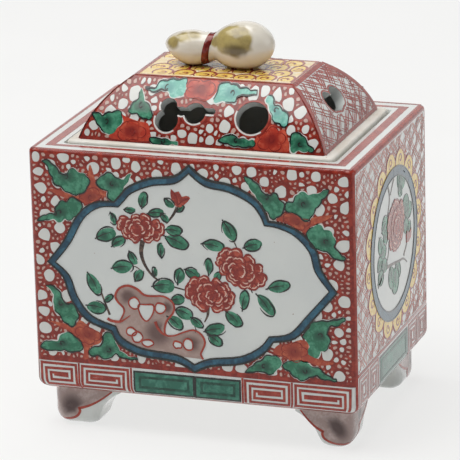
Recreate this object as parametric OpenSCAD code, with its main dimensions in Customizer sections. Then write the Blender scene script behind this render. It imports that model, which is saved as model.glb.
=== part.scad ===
// Rectangular porcelain incense burner: a slab-built vessel on four bracket feet, with a
// pierced, domed lid that lifts off and a gourd laid on top as its knob.
// Millimetres, +Z up, front towards -Y, origin under the middle of the four feet.

/* [Vessel] */
// Outer width of the vessel, left to right
vessel_w = 92; // [84:1:110]
// Outer depth of the vessel, front to back
vessel_d = 68; // [62:1:90]
// Height of the walls, without the feet
vessel_h = 68.5; // [45:0.5:90]
// Thickness of the four wall slabs
wall_t = 5; // [3.5:0.25:6.5]
// Thickness of the floor slab
floor_t = 5.5; // [4:0.5:9]
// Radius of the upright outer corners
corner_r = 2; // [1:0.25:3]
// Radius of the outer edge under the walls
base_edge_r = 3; // [2:0.25:4.5]
// Radius of the outer edge at the top of the walls
top_edge_r = 1; // [0.5:0.1:2]

/* [Rim] */
// Width of the flat rim, from the outer face to the mouth
rim_w = 7.5; // [7:0.25:10]
// How far the lid seat reaches in from the mouth
seat_w = 3.5; // [2.5:0.25:5]
// Depth of the lid seat below the rim
seat_depth = 2.8; // [2:0.1:4]
// Height of the rim strips, seat included
rim_h = 8; // [6:0.5:12]

/* [Feet] */
// Height of the feet
foot_h = 11.3; // [9.5:0.1:16]
// Length of a foot along each wall, where it meets the base
foot_span = 19.5; // [17:0.5:22]
// Length of a foot along each wall, where its toe is widest
foot_toe = 13; // [11:0.25:14.5]
// Radius of the toe's inner side
foot_toe_r = 2.75; // [2:0.25:4]
// How much shorter the right-hand feet are along the long walls
right_foot_trim = 3.6; // [0:0.2:5]
// Distance of a foot from the start of the rounded base edge
foot_setback = 0.1; // [0.1:0.1:2]
// Radius of the lower edges of a foot
foot_edge_r = 4.25; // [3:0.25:5]
// Radius of the hollow curve on the inner side of a foot
foot_hollow_r = 12; // [11:0.5:20]
// Thickness of a foot where its inner side runs out under the base
foot_lip = 1.1; // [0.8:0.1:2]

/* [Lid] */
// Clearance between the lid's flange and the mouth
flange_gap = 0.6; // [0.3:0.1:1.2]
// Thickness of the lid's flange
flange_t = 3.4; // [2.5:0.1:5]
// Radius of the flange's outer edge
flange_edge_r = 1.2; // [0.6:0.1:1.2]
// Width of bare flange outside the front and back panels
flange_lip_front = 2; // [1.5:0.1:4]
// Width of bare flange outside the left and right panels
flange_lip_side = 2.8; // [1.5:0.1:4]
// Clearance between the collar under the lid and the seat
collar_gap = 0.8; // [0.4:0.1:1.5]
// Thickness of the collar
collar_t = 3; // [2:0.25:4]
// Height of the collar below the flange
collar_h = 6; // [4:0.5:9]
// Width of the flat top of the lid
lid_top_w = 44.8; // [36:0.4:56]
// Depth of the flat top of the lid
lid_top_d = 24.4; // [18:0.4:32]
// Height of the lid above its flange
lid_rise = 15.8; // [14:0.2:20]
// How far the sloping panels swell out past a straight slope
lid_swell = 1.8; // [1:0.1:2.5]
// Thickness of the sloping panels
panel_t = 3; // [2:0.25:4]
// Thickness of the flat top of the lid
lid_top_t = 3; // [2:0.25:4]

/* [Vents] */
// Diameter of the round vent
round_vent_d = 9; // [6:0.2:10]
// Distance of the round vent from the middle of its panel
round_vent_x = 13.6; // [11:0.1:15]
// Distance of the cloud vent from the middle of its panel
cloud_vent_x = 6.2; // [5:0.1:8]
// Diameter of the largest lobe of the cloud vent
cloud_lobe_d = 6.4; // [5:0.2:7]
// Width of the heart-shaped vent
heart_vent_w = 12; // [9:0.2:14]
// Height of the heart's lobes up the slope from the middle of their panel
heart_lift = 2.4; // [1:0.1:3]
// Height of the other vents up the slope from the middle of their panel
vent_lift = 0.8; // [0:0.1:1.2]

/* [Gourd] */
// Length of the gourd
gourd_len = 31.5; // [26:0.5:36]
// Diameter of the large bulb
large_bulb_d = 13.4; // [11:0.1:14]
// Diameter of the small bulb
small_bulb_d = 9.9; // [7.5:0.1:10.5]
// Diameter of the waist
waist_d = 8; // [6.5:0.1:8.5]
// Distance of the gourd's middle from the middle of the lid, to the left
gourd_shift = 2.6; // [0:0.1:3]
// Distance of the gourd's middle from the middle of the lid, to the back
gourd_back = 1.5; // [0:0.1:3]
// Depth that the large bulb sinks into the lid
large_bulb_bed = 0.5; // [0.2:0.1:1.5]
// Depth that the small bulb sinks into the lid
small_bulb_bed = 0.3; // [0.2:0.1:1]
// Width of the tie round the waist
tie_w = 1.9; // [1.2:0.1:3]
// Thickness of the tie
tie_t = 0.3; // [0.2:0.05:0.8]

/* [Hidden] */
$fn = 96;

// Colours of the wares
PORCELAIN = [0.90, 0.90, 0.88];
RED_GROUND = [0.62, 0.20, 0.15];
HATCH_GROUND = [0.80, 0.64, 0.62];
BARE_CLAY = [0.87, 0.84, 0.77];
YELLOW_GROUND = [0.90, 0.76, 0.34];
FOOT_GLAZE = [0.62, 0.54, 0.54];
GOURD_GLAZE = [0.84, 0.82, 0.74];
TIE_RED = [0.50, 0.10, 0.06];

// Overlap that carries a cutting shape clear of what it cuts
past = 1;

// Heights of the vessel
base_z = foot_h;
rim_z = base_z + vessel_h;
seat_z = rim_z - seat_depth;

// Heights of the lid
flange_z = seat_z + flange_t;
lid_z = flange_z + lid_rise;
panel_top_z = lid_z - lid_top_t;

// Plan of the lid: each is a clearance or a lip inside the one before it
flange_w = vessel_w - 2 * (rim_w + flange_gap);
flange_d = vessel_d - 2 * (rim_w + flange_gap);
panel_w = flange_w - 2 * flange_lip_side;
panel_d = flange_d - 2 * flange_lip_front;
collar_w = vessel_w - 2 * (rim_w + seat_w + collar_gap);
collar_d = vessel_d - 2 * (rim_w + seat_w + collar_gap);

// A foot starts where the rounded base edge has turned flat
foot_inset = base_edge_r + foot_setback;

// Largest horizontal size, for cutting shapes
reach = vessel_w + vessel_d;

// Places along the gourd, as shares of its length from the small end to the large one
small_at = 0.26;
waist_at = 0.41;
large_at = 0.735;

// How far each swelling reaches to the left and to the right, as shares of the length
small_reach = [small_at, 0.2];
large_reach = [0.33, 1 - large_at];
neck_reach = 0.09;
blend = 6;

// An outline in the XZ plane drawn out along Y, and one in the YZ plane drawn out along X
module along_y(length) rotate([90, 0, 0]) linear_extrude(height = length, center = true) children();
module along_x(length) rotate([90, 0, 90]) linear_extrude(height = length, center = true) children();

// What is left of a square corner when it is rounded, with its corner at the origin
module corner_waste(r) {
    difference() {
        translate([-past, -past]) square(r + past);
        translate([r, r]) circle(r);
    }
}

module rounded_rect(w, d, r) {
    difference() {
        square([w, d], center = true);
        for (sx = [-1, 1], sy = [-1, 1])
            scale([sx, sy]) translate([-w / 2, -d / 2]) corner_waste(r);
    }
}

// Elevation of a block of width w between heights z0 and z1, with rounded lower and upper edges
module elevation(w, z0, z1, low_r, high_r) {
    difference() {
        translate([-w / 2, z0]) square([w, z1 - z0]);
        for (s = [0, 1]) mirror([s, 0]) {
            if (low_r > 0) translate([-w / 2, z0]) corner_waste(low_r);
            if (high_r > 0) translate([-w / 2, z1]) mirror([0, 1]) corner_waste(high_r);
        }
    }
}

// A block w by d with rounded upright corners and rounded lower and upper edges
module soft_block(w, d, z0, z1, upright_r, low_r, high_r) {
    intersection() {
        translate([0, 0, z0 - past]) linear_extrude(z1 - z0 + 2 * past) rounded_rect(w, d, upright_r);
        along_y(d + 2 * past) elevation(w, z0, z1, low_r, high_r);
        along_x(w + 2 * past) elevation(d, z0, z1, low_r, high_r);
    }
}

// The quarter of the plan that belongs to the front slab: it ends on the mitres at both corners
module front_quarter(w, d, depth) {
    polygon([
        [-w / 2 - past, -d / 2 - past], [w / 2 + past, -d / 2 - past],
        [w / 2 - depth, -d / 2 + depth], [-w / 2 + depth, -d / 2 + depth]
    ]);
}

// A wall slab, mitred at both ends. turn puts it at the front, right, back or left
module wall(turn) {
    across = turn % 180 != 0;
    w = across ? vessel_d : vessel_w;
    d = across ? vessel_w : vessel_d;
    rotate(turn) intersection() {
        soft_block(w, d, base_z, rim_z, corner_r, base_edge_r, top_edge_r);
        linear_extrude(rim_z + past) front_quarter(w, d, wall_t);
    }
}

module floor_slab() {
    color(PORCELAIN)
        translate([0, 0, base_z + floor_t / 2])
            cube([vessel_w - 2 * wall_t, vessel_d - 2 * wall_t, floor_t], center = true);
}

// A strip of the rim: the flat top, and the step that the lid sits on
module rim_section() {
    polygon([
        [wall_t, rim_z - rim_h], [rim_w + seat_w, rim_z - rim_h],
        [rim_w + seat_w, seat_z], [rim_w, seat_z], [rim_w, rim_z], [wall_t, rim_z]
    ]);
}

module rim(turn) {
    across = turn % 180 != 0;
    w = across ? vessel_d : vessel_w;
    d = across ? vessel_w : vessel_d;
    rotate(turn) intersection() {
        translate([0, -d / 2, 0]) along_x(w) rim_section();
        linear_extrude(rim_z + past) front_quarter(w, d, rim_w + seat_w + past);
    }
}

// Side view of a foot: upright outside at u = 0. The inner side is a round toe that runs on
// into a hollow, which ends at the lip under the base
module foot_side(trim) {
    toe = [foot_toe - trim - foot_toe_r, foot_toe_r];
    lip = [foot_span - trim, foot_h - foot_lip];
    far = norm(lip - toe);
    apart = foot_toe_r + foot_hollow_r;
    turn = acos((apart * apart + far * far - foot_hollow_r * foot_hollow_r) / (2 * apart * far));
    way = atan2(lip[1] - toe[1], lip[0] - toe[0]) - turn;
    hollow = toe + apart * [cos(way), sin(way)];
    difference() {
        square([toe[0], foot_h]);
        corner_waste(foot_edge_r);
    }
    translate(toe) circle(foot_toe_r);
    difference() {
        polygon([toe, hollow, lip, [lip[0], foot_h], [toe[0], foot_h]]);
        translate(hollow) circle(foot_hollow_r, $fn = 180);
    }
}

// A bracket foot at the front left corner. mirrored puts it at the others
module foot(mirrored, trim) {
    scale([mirrored[0], mirrored[1], 1])
        translate([foot_inset - vessel_w / 2, foot_inset - vessel_d / 2, 0])
            intersection() {
                translate([0, foot_span / 2, 0]) along_y(foot_span + 2 * past) foot_side(trim);
                translate([foot_span / 2, 0, 0]) along_x(foot_span + 2 * past) foot_side(0);
                linear_extrude(foot_h) difference() {
                    square([foot_span - trim, foot_span]);
                    corner_waste(foot_edge_r);
                }
            }
}

module lid_flange() {
    color(BARE_CLAY) difference() {
        soft_block(flange_w, flange_d, seat_z, flange_z, flange_edge_r, 0, flange_edge_r);
        translate([0, 0, seat_z - past]) linear_extrude(flange_t + 2 * past)
            square([collar_w - 2 * collar_t, collar_d - 2 * collar_t], center = true);
    }
}

module lid_collar() {
    color(BARE_CLAY)
        translate([0, 0, seat_z - collar_h]) linear_extrude(collar_h) difference() {
            square([collar_w, collar_d], center = true);
            square([collar_w - 2 * collar_t, collar_d - 2 * collar_t], center = true);
        }
}

// Circle that one side of the domed lid follows: its arc swells past the straight slope from
// the base to the top. inset is the distance inside the lid's outer face
module slope_circle(base, top, inset) {
    run = (base - top) / 2;
    chord = norm([run, lid_rise]);
    arc_r = (chord * chord / 4 + lid_swell * lid_swell) / (2 * lid_swell);
    out = [lid_rise, run] / chord;
    middle = [(base + top) / 4, flange_z + lid_rise / 2];
    translate(middle - (arc_r - lid_swell) * out) circle(arc_r - inset, $fn = 180);
}

// Outline of the whole dome, seen along one of its two axes
module lid_outline(base, top, inset) {
    for (s = [0, 1]) mirror([s, 0]) intersection() {
        translate([-past, flange_z - past]) square([base / 2 + past, lid_rise + past]);
        slope_circle(base, top, inset);
    }
}

// Section of one sloping panel, from the flange to the underside of the flat top
module panel_section(base, top) {
    intersection() {
        translate([0, flange_z]) square([base / 2, panel_top_z - flange_z]);
        difference() {
            slope_circle(base, top, 0);
            slope_circle(base, top, panel_t);
        }
    }
}

// Puts a vent drawn flat on the middle of the front slope, and cuts it square to the slope
module through_slope(base, top) {
    run = (base - top) / 2;
    share = (panel_top_z - flange_z) / 2 / lid_rise;
    translate([0, share * run - base / 2, flange_z + share * lid_rise])
        rotate([atan(lid_rise / run), 0, 0])
            linear_extrude(height = 4 * panel_t + 2 * lid_swell, center = true) children();
}

module round_vent() translate([round_vent_x, vent_lift]) circle(d = round_vent_d);

// A cloud of three lobes that trails off to one side
module cloud_vent() {
    lobe_r = cloud_lobe_d / 2;
    lobe_x = 1.3 * lobe_r;
    bar = 0.8 * lobe_r;
    tail_r = 0.28 * lobe_r;
    translate([-cloud_vent_x, vent_lift]) {
        translate([-lobe_x, -0.7 * lobe_r]) circle(lobe_r);
        translate([-lobe_x, 0.55 * lobe_r]) circle(0.72 * lobe_r);
        translate([0.85 * lobe_x, 0.05 * lobe_r]) circle(0.92 * lobe_r);
        translate([-lobe_x, 0.15 * lobe_r - bar / 2]) square([1.85 * lobe_x, bar]);
        translate([0.85 * lobe_x, 0.3 * lobe_r - tail_r]) square([1.15 * lobe_x, 2 * tail_r]);
        translate([2 * lobe_x, 0.3 * lobe_r]) circle(tail_r);
    }
}

// A heart with its point down: two round lobes that overlap, and a wedge below them
module heart_vent() {
    lobe_r = 0.26 * heart_vent_w;
    lobe_x = heart_vent_w / 2 - lobe_r;
    drop = 0.32 * heart_vent_w;
    to_lobe = norm([lobe_x, drop]);
    run = sqrt(to_lobe * to_lobe - lobe_r * lobe_r);
    tilt = atan2(drop, lobe_x) - asin(lobe_r / to_lobe);
    side = [run * cos(tilt), run * sin(tilt) - drop];
    translate([0, heart_lift]) {
        for (s = [-1, 1]) translate([s * lobe_x, 0]) circle(lobe_r);
        polygon([[0, -drop], side, [lobe_x, 0], [-lobe_x, 0], [-side[0], side[1]]]);
    }
}

// The front and back panels run the whole width of the lid. side is -1 at the front
module long_panel(side) {
    color(RED_GROUND) difference() {
        intersection() {
            scale([1, side, 1]) along_x(reach) panel_section(panel_d, lid_top_d);
            along_y(reach) lid_outline(panel_w, lid_top_w, 0);
        }
        rotate(side < 0 ? 0 : 180) through_slope(panel_d, lid_top_d) {
            round_vent();
            cloud_vent();
        }
    }
}

// The left and right panels fit between the front and the back. side is -1 at the left
module short_panel(side) {
    color(HATCH_GROUND) difference() {
        intersection() {
            scale([side, 1, 1]) along_y(reach) panel_section(panel_w, lid_top_w);
            along_x(reach) lid_outline(panel_d, lid_top_d, panel_t);
        }
        rotate(side * 90) through_slope(panel_w, lid_top_w) heart_vent();
    }
}

module lid_top_slab() {
    color(YELLOW_GROUND) intersection() {
        along_y(reach) lid_outline(panel_w, lid_top_w, 0);
        along_x(reach) lid_outline(panel_d, lid_top_d, 0);
        translate([-reach / 2, -reach / 2, panel_top_z]) cube([reach, reach, lid_top_t + past]);
    }
}

// Radius of a bulb at share t of the length: an egg that reaches a different way on each side.
// A larger power makes that side more pointed
function egg(t, at, reaches, powers, d) =
    let(side = t < at ? 0 : 1, q = (t - at) / reaches[side])
    abs(q) >= 1 ? 0 : d / 2 * pow(1 - q * q, powers[side]);
function neck(t) = waist_d / 2 * exp(-pow((t - waist_at) / neck_reach, 2));
function gourd_r(t) = pow(
    pow(egg(t, small_at, small_reach, [0.66, 0.57], small_bulb_d), blend)
    + pow(egg(t, large_at, large_reach, [0.57, 0.57], large_bulb_d), blend)
    + pow(neck(t), blend), 1 / blend);

// The gourd lies along X on the lid, small end to the left, and both bulbs are bedded in it
gourd_rise = large_bulb_d / 2 - large_bulb_bed - (small_bulb_d / 2 - small_bulb_bed);
gourd_lean = atan(gourd_rise / ((large_at - small_at) * gourd_len));
axis_z = lid_z - large_bulb_bed + large_bulb_d / 2 - (large_at - 0.5) * gourd_len * tan(gourd_lean);
module on_lid() {
    translate([-gourd_shift, gourd_back, axis_z]) rotate([0, 90 - gourd_lean, 0]) children();
}

// Points of the outline: below the tie, along the tie, and beyond it
tie_half = tie_w / gourd_len / 2;
tie_from = waist_at - tie_half;
tie_to = waist_at + tie_half;
small_ts = [for (i = [1:24]) tie_from * (1 - cos(i * 90 / 24))];
tie_ts = [for (i = [0:6]) tie_from + (tie_to - tie_from) * i / 6];
large_ts = [for (i = [1:35]) tie_to + (1 - tie_to) * (1 - cos(i * 180 / 36)) / 2];
function gourd_point(t, out) = [gourd_r(t) + out, (t - 0.5) * gourd_len];

module gourd() {
    color(GOURD_GLAZE) intersection() {
        on_lid() rotate_extrude() polygon(concat(
            [[0, -gourd_len / 2]],
            [for (i = [0:22]) gourd_point(small_ts[i], 0)],
            [for (t = tie_ts) gourd_point(t, 0)],
            [for (t = large_ts) gourd_point(t, 0)],
            [[0, gourd_len / 2]]
        ));
        translate([-gourd_len, -gourd_len, lid_z]) cube(2 * gourd_len);
    }
}

module gourd_tie() {
    color(TIE_RED) on_lid() rotate_extrude() polygon(concat(
        [for (t = tie_ts) gourd_point(t, 0)],
        [for (i = [6:-1:0]) gourd_point(tie_ts[i], tie_t)]
    ));
}

module front_wall() color(RED_GROUND) wall(0);
module right_wall() color(HATCH_GROUND) wall(90);
module back_wall() color(RED_GROUND) wall(180);
module left_wall() color(HATCH_GROUND) wall(270);
module front_rim() color(PORCELAIN) rim(0);
module right_rim() color(PORCELAIN) rim(90);
module back_rim() color(PORCELAIN) rim(180);
module left_rim() color(PORCELAIN) rim(270);
module front_left_foot() color(FOOT_GLAZE) foot([1, 1], 0);
module front_right_foot() color(FOOT_GLAZE) foot([-1, 1], right_foot_trim);
module back_left_foot() color(FOOT_GLAZE) foot([1, -1], 0);
module back_right_foot() color(FOOT_GLAZE) foot([-1, -1], right_foot_trim);
module lid_front_panel() long_panel(-1);
module lid_back_panel() long_panel(1);
module lid_left_panel() short_panel(-1);
module lid_right_panel() short_panel(1);

floor_slab();
front_wall();
back_wall();
left_wall();
right_wall();
front_rim();
back_rim();
left_rim();
right_rim();
front_left_foot();
front_right_foot();
back_left_foot();
back_right_foot();
lid_flange();
lid_collar();
lid_front_panel();
lid_back_panel();
lid_left_panel();
lid_right_panel();
lid_top_slab();
gourd();
gourd_tie();
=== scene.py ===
# %% [markdown]
# # A porcelain incense burner with a pierced lid
# The burner is two fired pieces: a box on four bracket feet, and a domed lid with a gourd as its knob.
# Both are white porcelain under a clear glaze, painted on top with enamels that stand a hair proud. The
# lesson loads the measured solids first, so that each new piece goes exactly where its solid is.

# %% Load the frame
import itertools
import math
import random

import bmesh
import bpy
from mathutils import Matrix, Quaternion, Vector


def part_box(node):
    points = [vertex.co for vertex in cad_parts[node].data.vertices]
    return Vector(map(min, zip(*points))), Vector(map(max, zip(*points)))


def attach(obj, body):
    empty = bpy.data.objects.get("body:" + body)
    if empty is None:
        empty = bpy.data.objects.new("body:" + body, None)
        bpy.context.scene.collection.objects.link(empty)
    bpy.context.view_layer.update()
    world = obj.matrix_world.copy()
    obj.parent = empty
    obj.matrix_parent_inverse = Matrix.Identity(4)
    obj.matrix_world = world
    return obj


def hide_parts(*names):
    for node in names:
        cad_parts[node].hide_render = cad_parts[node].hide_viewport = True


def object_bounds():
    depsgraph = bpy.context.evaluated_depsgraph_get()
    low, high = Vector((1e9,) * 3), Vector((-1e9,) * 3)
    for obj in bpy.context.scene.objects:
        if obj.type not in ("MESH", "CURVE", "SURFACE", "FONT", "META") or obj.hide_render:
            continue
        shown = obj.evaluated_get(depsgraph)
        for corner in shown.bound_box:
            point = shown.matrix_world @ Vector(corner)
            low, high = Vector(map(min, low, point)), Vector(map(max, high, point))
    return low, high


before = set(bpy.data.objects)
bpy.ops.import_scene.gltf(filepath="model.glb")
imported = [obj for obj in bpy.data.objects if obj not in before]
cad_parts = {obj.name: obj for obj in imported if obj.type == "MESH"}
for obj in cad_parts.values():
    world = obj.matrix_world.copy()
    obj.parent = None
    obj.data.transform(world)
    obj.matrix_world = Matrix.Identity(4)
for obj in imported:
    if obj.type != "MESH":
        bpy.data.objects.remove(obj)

cad_low, cad_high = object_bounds()
MM = 0.001
cad_size = [round(side / MM, 1) for side in cad_high - cad_low]
print("solids loaded:", len(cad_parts), "box in mm:", cad_size)

# %% [markdown]
# ## Sizes
# Sizes are written in millimetres, because a potter thinks in them, and are turned into metres where a
# piece is made. The outer sizes are read from the solids. The rest repeats the thicknesses of the slabs.

# %% Sizes of the vessel and the lid
HALF_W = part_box("right_wall")[1].x / MM
HALF_D = -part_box("front_wall")[0].y / MM
BASE_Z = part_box("front_wall")[0].z / MM
RIM_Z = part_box("front_rim")[1].z / MM
FLOOR_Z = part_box("floor_slab")[1].z / MM
PAINT_H = 67
PAINT_Z = RIM_Z - PAINT_H
WALL_T = 5
CORNER_R = 2
BASE_R = 3
TOP_R = 1
RIM_W = 7.5
SEAT_W = 3.5
SEAT_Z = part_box("lid_flange")[0].z / MM
RIM_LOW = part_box("front_rim")[0].z / MM
FLANGE_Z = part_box("lid_flange")[1].z / MM
FLANGE_HALF = (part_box("lid_flange")[1].x / MM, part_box("lid_flange")[1].y / MM)
LID_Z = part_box("lid_top_slab")[1].z / MM
PANEL_TOP_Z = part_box("lid_top_slab")[0].z / MM
COLLAR_LOW, COLLAR_HIGH = (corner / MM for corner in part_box("lid_collar"))
print("painted height", PAINT_H, "rim at", round(RIM_Z, 2), "lid top at", round(LID_Z, 2))

# %% [markdown]
# ## Camera
# The camera stands where the photographer stood, a little above the rim and to the right. A long lens
# from a metre away keeps the upright edges nearly parallel. The slight roll is the tilt of the picture.

# %% Camera
CAMERA_AT = Vector((324.11, -919.65, 357.22)) * MM
CAMERA_AIM = Vector((-0.60, -0.21, 49.89)) * MM
CAMERA_ROLL = math.radians(-1.57)
CAMERA_LENS, CAMERA_SENSOR = 290.04, 36
bpy.ops.object.select_all(action="DESELECT")
bpy.ops.object.camera_add(location=CAMERA_AT)
camera = bpy.context.object
camera.name = "camera"
aim = (CAMERA_AIM - CAMERA_AT).to_track_quat("-Z", "Y")
camera.rotation_euler = (aim @ Quaternion((0, 0, 1), CAMERA_ROLL)).to_euler()
camera.data.sensor_width = CAMERA_SENSOR
camera.data.lens = CAMERA_LENS
bpy.context.scene.camera = camera
print("camera distance in mm:", round((CAMERA_AIM - CAMERA_AT).length / MM))

# %% [markdown]
# ## Finishes
# Glaze and enamel are glass: a colour with a clear skin over it. Every finish here is mixed from a few
# noise patterns on Object coordinates, so it belongs to the piece and needs no picture. Colours are read
# as 0 to 255 from the object and made linear for the shader.

# %% Helpers for the finishes
def pigment(red, green, blue):
    """A colour as the eye reads it, made linear for the shader."""
    channels = []
    for value in (red, green, blue):
        share = value / 255
        channels.append(share / 12.92 if share <= 0.04045 else ((share + 0.055) / 1.055) ** 2.4)
    return (*channels, 1)


class Finish:
    """A material and the few node steps that a glaze needs."""

    def __init__(self, name):
        self.material = bpy.data.materials.new(name)
        self.material.use_nodes = True
        self.nodes = self.material.node_tree.nodes
        self.links = self.material.node_tree.links
        self.skin = self.nodes["Principled BSDF"]
        self.place = self.nodes.new("ShaderNodeTexCoord").outputs["Object"]

    def fill(self, node, values):
        """Gives each named input of a node its link or its constant."""
        for key, value in values.items():
            if isinstance(value, bpy.types.NodeSocket):
                self.links.new(value, node.inputs[key])
            else:
                node.inputs[key].default_value = value

    def step(self, kind, values, **settings):
        """Adds a node of that kind and returns its outputs."""
        node = self.nodes.new(kind)
        for name, value in settings.items():
            setattr(node, name, value)
        self.fill(node, values)
        return node.outputs

    def noise(self, grain_mm, detail, warp=0.0):
        """Soft patches about grain_mm across."""
        values = {"Vector": self.place, "Scale": 1 / (grain_mm * MM), "Detail": detail, "Distortion": warp}
        return self.step("ShaderNodeTexNoise", values)["Fac"]

    def remap(self, value, low, high, to_low=0.0, to_high=1.0):
        values = {"Value": value, "From Min": low, "From Max": high, "To Min": to_low, "To Max": to_high}
        return self.step("ShaderNodeMapRange", values, interpolation_type="SMOOTHSTEP")["Result"]

    def mix(self, share, first, second):
        return self.step("ShaderNodeMix", {0: share, 6: first, 7: second}, data_type="RGBA")[2]

    def clouds(self, grain_mm, detail, low, high, first, second):
        """Two colours in soft patches."""
        return self.mix(self.remap(self.noise(grain_mm, detail), low, high), first, second)

    def combine(self, kind, first, second):
        return self.step("ShaderNodeMath", {0: first, 1: second}, operation=kind)[0]

    def dab(self, centre_mm, inner_mm, outer_mm, ragged_mm, squash=(1, 1, 1)):
        """1 near a point of the piece, fading to 0 further off, with an uneven edge."""
        kind = "ShaderNodeVectorMath"
        away = self.step(kind, {0: self.place, 1: Vector(centre_mm) * MM}, operation="SUBTRACT")[0]
        away = self.step(kind, {0: away, 1: squash}, operation="MULTIPLY")[0]
        reach = self.step(kind, {0: away}, operation="LENGTH")["Value"]
        uneven = self.remap(self.noise(3.2, 1), 0.25, 0.75, -ragged_mm * MM, ragged_mm * MM)
        return self.remap(self.combine("ADD", reach, uneven), inner_mm * MM, outer_mm * MM, 1.0, 0.0)

    def pool(self):
        """1 where a stroke is marked as a dark dab, through its attribute of that name."""
        mark = self.step("ShaderNodeAttribute", {}, attribute_name="pool")["Fac"]
        return self.remap(mark, 0.0, 0.75, 0.0, 0.92)

    def colour(self, value):
        self.fill(self.skin, {"Base Color": value})

    def gloss(self, low, high, grain_mm=6):
        self.fill(self.skin, {"Roughness": self.remap(self.noise(grain_mm, 2), 0.3, 0.7, low, high)})

    def coat(self, ior=1.3, level=0.25, rough=0.12):
        """A clear skin, which shows as a pale sheen where the eye grazes a wall."""
        values = {"Specular IOR Level": level, "Coat Weight": 1, "Coat Roughness": rough, "Coat IOR": ior}
        self.fill(self.skin, values)

    def bump(self, grain_mm, depth_mm, strength):
        values = {"Strength": strength, "Distance": depth_mm * MM, "Height": self.noise(grain_mm, 2)}
        self.fill(self.skin, {"Normal": self.step("ShaderNodeBump", values)["Normal"]})


# %% [markdown]
# ## Porcelain, bare clay and enamels
# The porcelain is a cool white with faint clouds and a few iron specks. The seat of the lid is bare clay:
# warmer and matt. An enamel is laid on with a brush, so it pools in some places and thins in others. One
# function gives all of them that look, from a thick and a thin shade.

# %% Porcelain and bare clay
def porcelain_finish(name, white, shade, pooled=None):
    finish = Finish(name)
    base = finish.clouds(22, 3, 0.35, 0.7, white, shade)
    if pooled:
        base = finish.mix(finish.pool(), base, pooled)
    specks = finish.remap(finish.noise(0.9, 1), 0.77, 0.82)
    finish.colour(finish.mix(specks, base, pigment(150, 128, 108)))
    finish.gloss(0.09, 0.17, 9)
    finish.coat()
    finish.bump(3.5, 0.03, 0.35)
    return finish.material


porcelain = porcelain_finish("clear glaze on porcelain", pigment(213, 216, 213), pigment(206, 210, 208))
bubble_glaze = porcelain_finish(
    "bubbles left white", pigment(213, 214, 210), pigment(205, 206, 202), pigment(186, 152, 140))

clay = Finish("bare cream clay")
clay_base = clay.clouds(7, 4, 0.3, 0.7, pigment(217, 214, 207), pigment(206, 200, 189))
clay_spots = clay.remap(clay.noise(1.6, 2), 0.66, 0.76)
clay.colour(clay.mix(clay_spots, clay_base, pigment(176, 140, 108)))
clay.gloss(0.5, 0.68)
clay.bump(0.7, 0.06, 0.5)
bare_clay = clay.material
print("finishes:", porcelain.name, "and", bare_clay.name)

# %% Enamels
EVEN = (0.32, 0.68)
SATIN = (0.16, 0.28)


def enamel(name, thick, thin, pool_mm, edge=EVEN, pooled=None, gloss=SATIN):
    """A brushed enamel: thick where it pools, thin and paler elsewhere, with fine brush grain. pooled is the
    shade of a soft dab, which the strokes mark with an attribute of that name."""
    finish = Finish(name)
    pools = finish.remap(finish.noise(pool_mm, 3, 0.6), *edge)
    brushed = finish.remap(finish.noise(0.7, 2, 0.3), 0.3, 0.72, 0.0, 0.5)
    share = finish.combine("MAXIMUM", finish.combine("SUBTRACT", pools, brushed), 0.0)
    shade = finish.mix(share, pigment(*thick), pigment(*thin))
    if pooled:
        shade = finish.mix(finish.pool(), shade, pigment(*pooled))
    finish.colour(shade)
    finish.gloss(*gloss, 2.5)
    finish.coat()
    finish.bump(1.4, 0.03, 0.4)
    return finish.material


FINISHES = {
    "iron_red": enamel("iron red enamel", (120, 27, 15), (162, 54, 36), 1.8, (0.34, 0.7)),
    "line_red": enamel("iron red line", (138, 40, 30), (168, 70, 54), 2.2),
    "hatch_red": enamel("pale red line", (172, 88, 74), (202, 142, 130), 2.2),
    "coral": enamel("coral enamel", (160, 62, 40), (194, 102, 66), 2.4, (0.35, 0.7), (132, 42, 28)),
    "bright_coral": enamel(
        "bright coral enamel", (176, 54, 36), (202, 90, 64), 2.4, (0.35, 0.7), (128, 28, 22)),
    "petal_red": enamel("peony enamel", (134, 36, 26), (188, 84, 62), 1.4, (0.35, 0.7)),
    "deep_red": enamel("deep red line", (118, 26, 20), (148, 44, 34), 1.6),
    "leaf_green": enamel("leaf green enamel", (34, 106, 78), (80, 152, 122), 2.2, (0.3, 0.66), (20, 72, 54)),
    # A paler green: painted sheen on the leaves at the top of the lid's long panels.
    "green_with_painted_sheen": enamel("green enamel with painted sheen", (100, 172, 156), (150, 206, 194), 2.6, EVEN, (82, 148, 142)),
    "bar_green": enamel("green bar enamel", (34, 100, 82), (72, 138, 118), 3.4),
    "bar_dark": enamel("dark green line", (14, 58, 46), (36, 92, 76), 2.4),
    "band_blue": enamel("blue enamel", (18, 62, 84), (46, 100, 122), 3.0),
    "rock_purple": enamel(
        "manganese purple enamel", (162, 138, 130), (178, 156, 148), 4.5, (0.35, 0.65), (92, 66, 62)),
    "foot_purple": enamel(
        "thin purple-brown enamel", (158, 137, 132), (190, 172, 168), 5.0, (0.3, 0.7), (66, 44, 42)),
    "rock_red": enamel("bright red line", (148, 46, 32), (172, 70, 52), 2.0),
    "dark_line": enamel("brown-black line", (20, 24, 24), (44, 46, 42), 1.6),
    "stem_brown": enamel("stem brown", (48, 32, 26), (116, 92, 78), 1.8),
    "yellow": enamel("yellow enamel", (228, 190, 84), (240, 214, 130), 2.4),
    "top_yellow": enamel("thin yellow enamel", (226, 202, 146), (230, 218, 194), 4.5, (0.36, 0.62)),
    "petal_pink": enamel("pale petal ground", (206, 162, 146), (222, 196, 184), 1.0),
    "tie_red": enamel("thick red enamel", (98, 20, 14), (140, 42, 32), 2.4, gloss=(0.08, 0.16)),
    "bubble_white": bubble_glaze,
    "white_field": porcelain,
}
FINISHES["rim_red"] = FINISHES["line_red"]
print("colours for the brush:", len(FINISHES))

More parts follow.
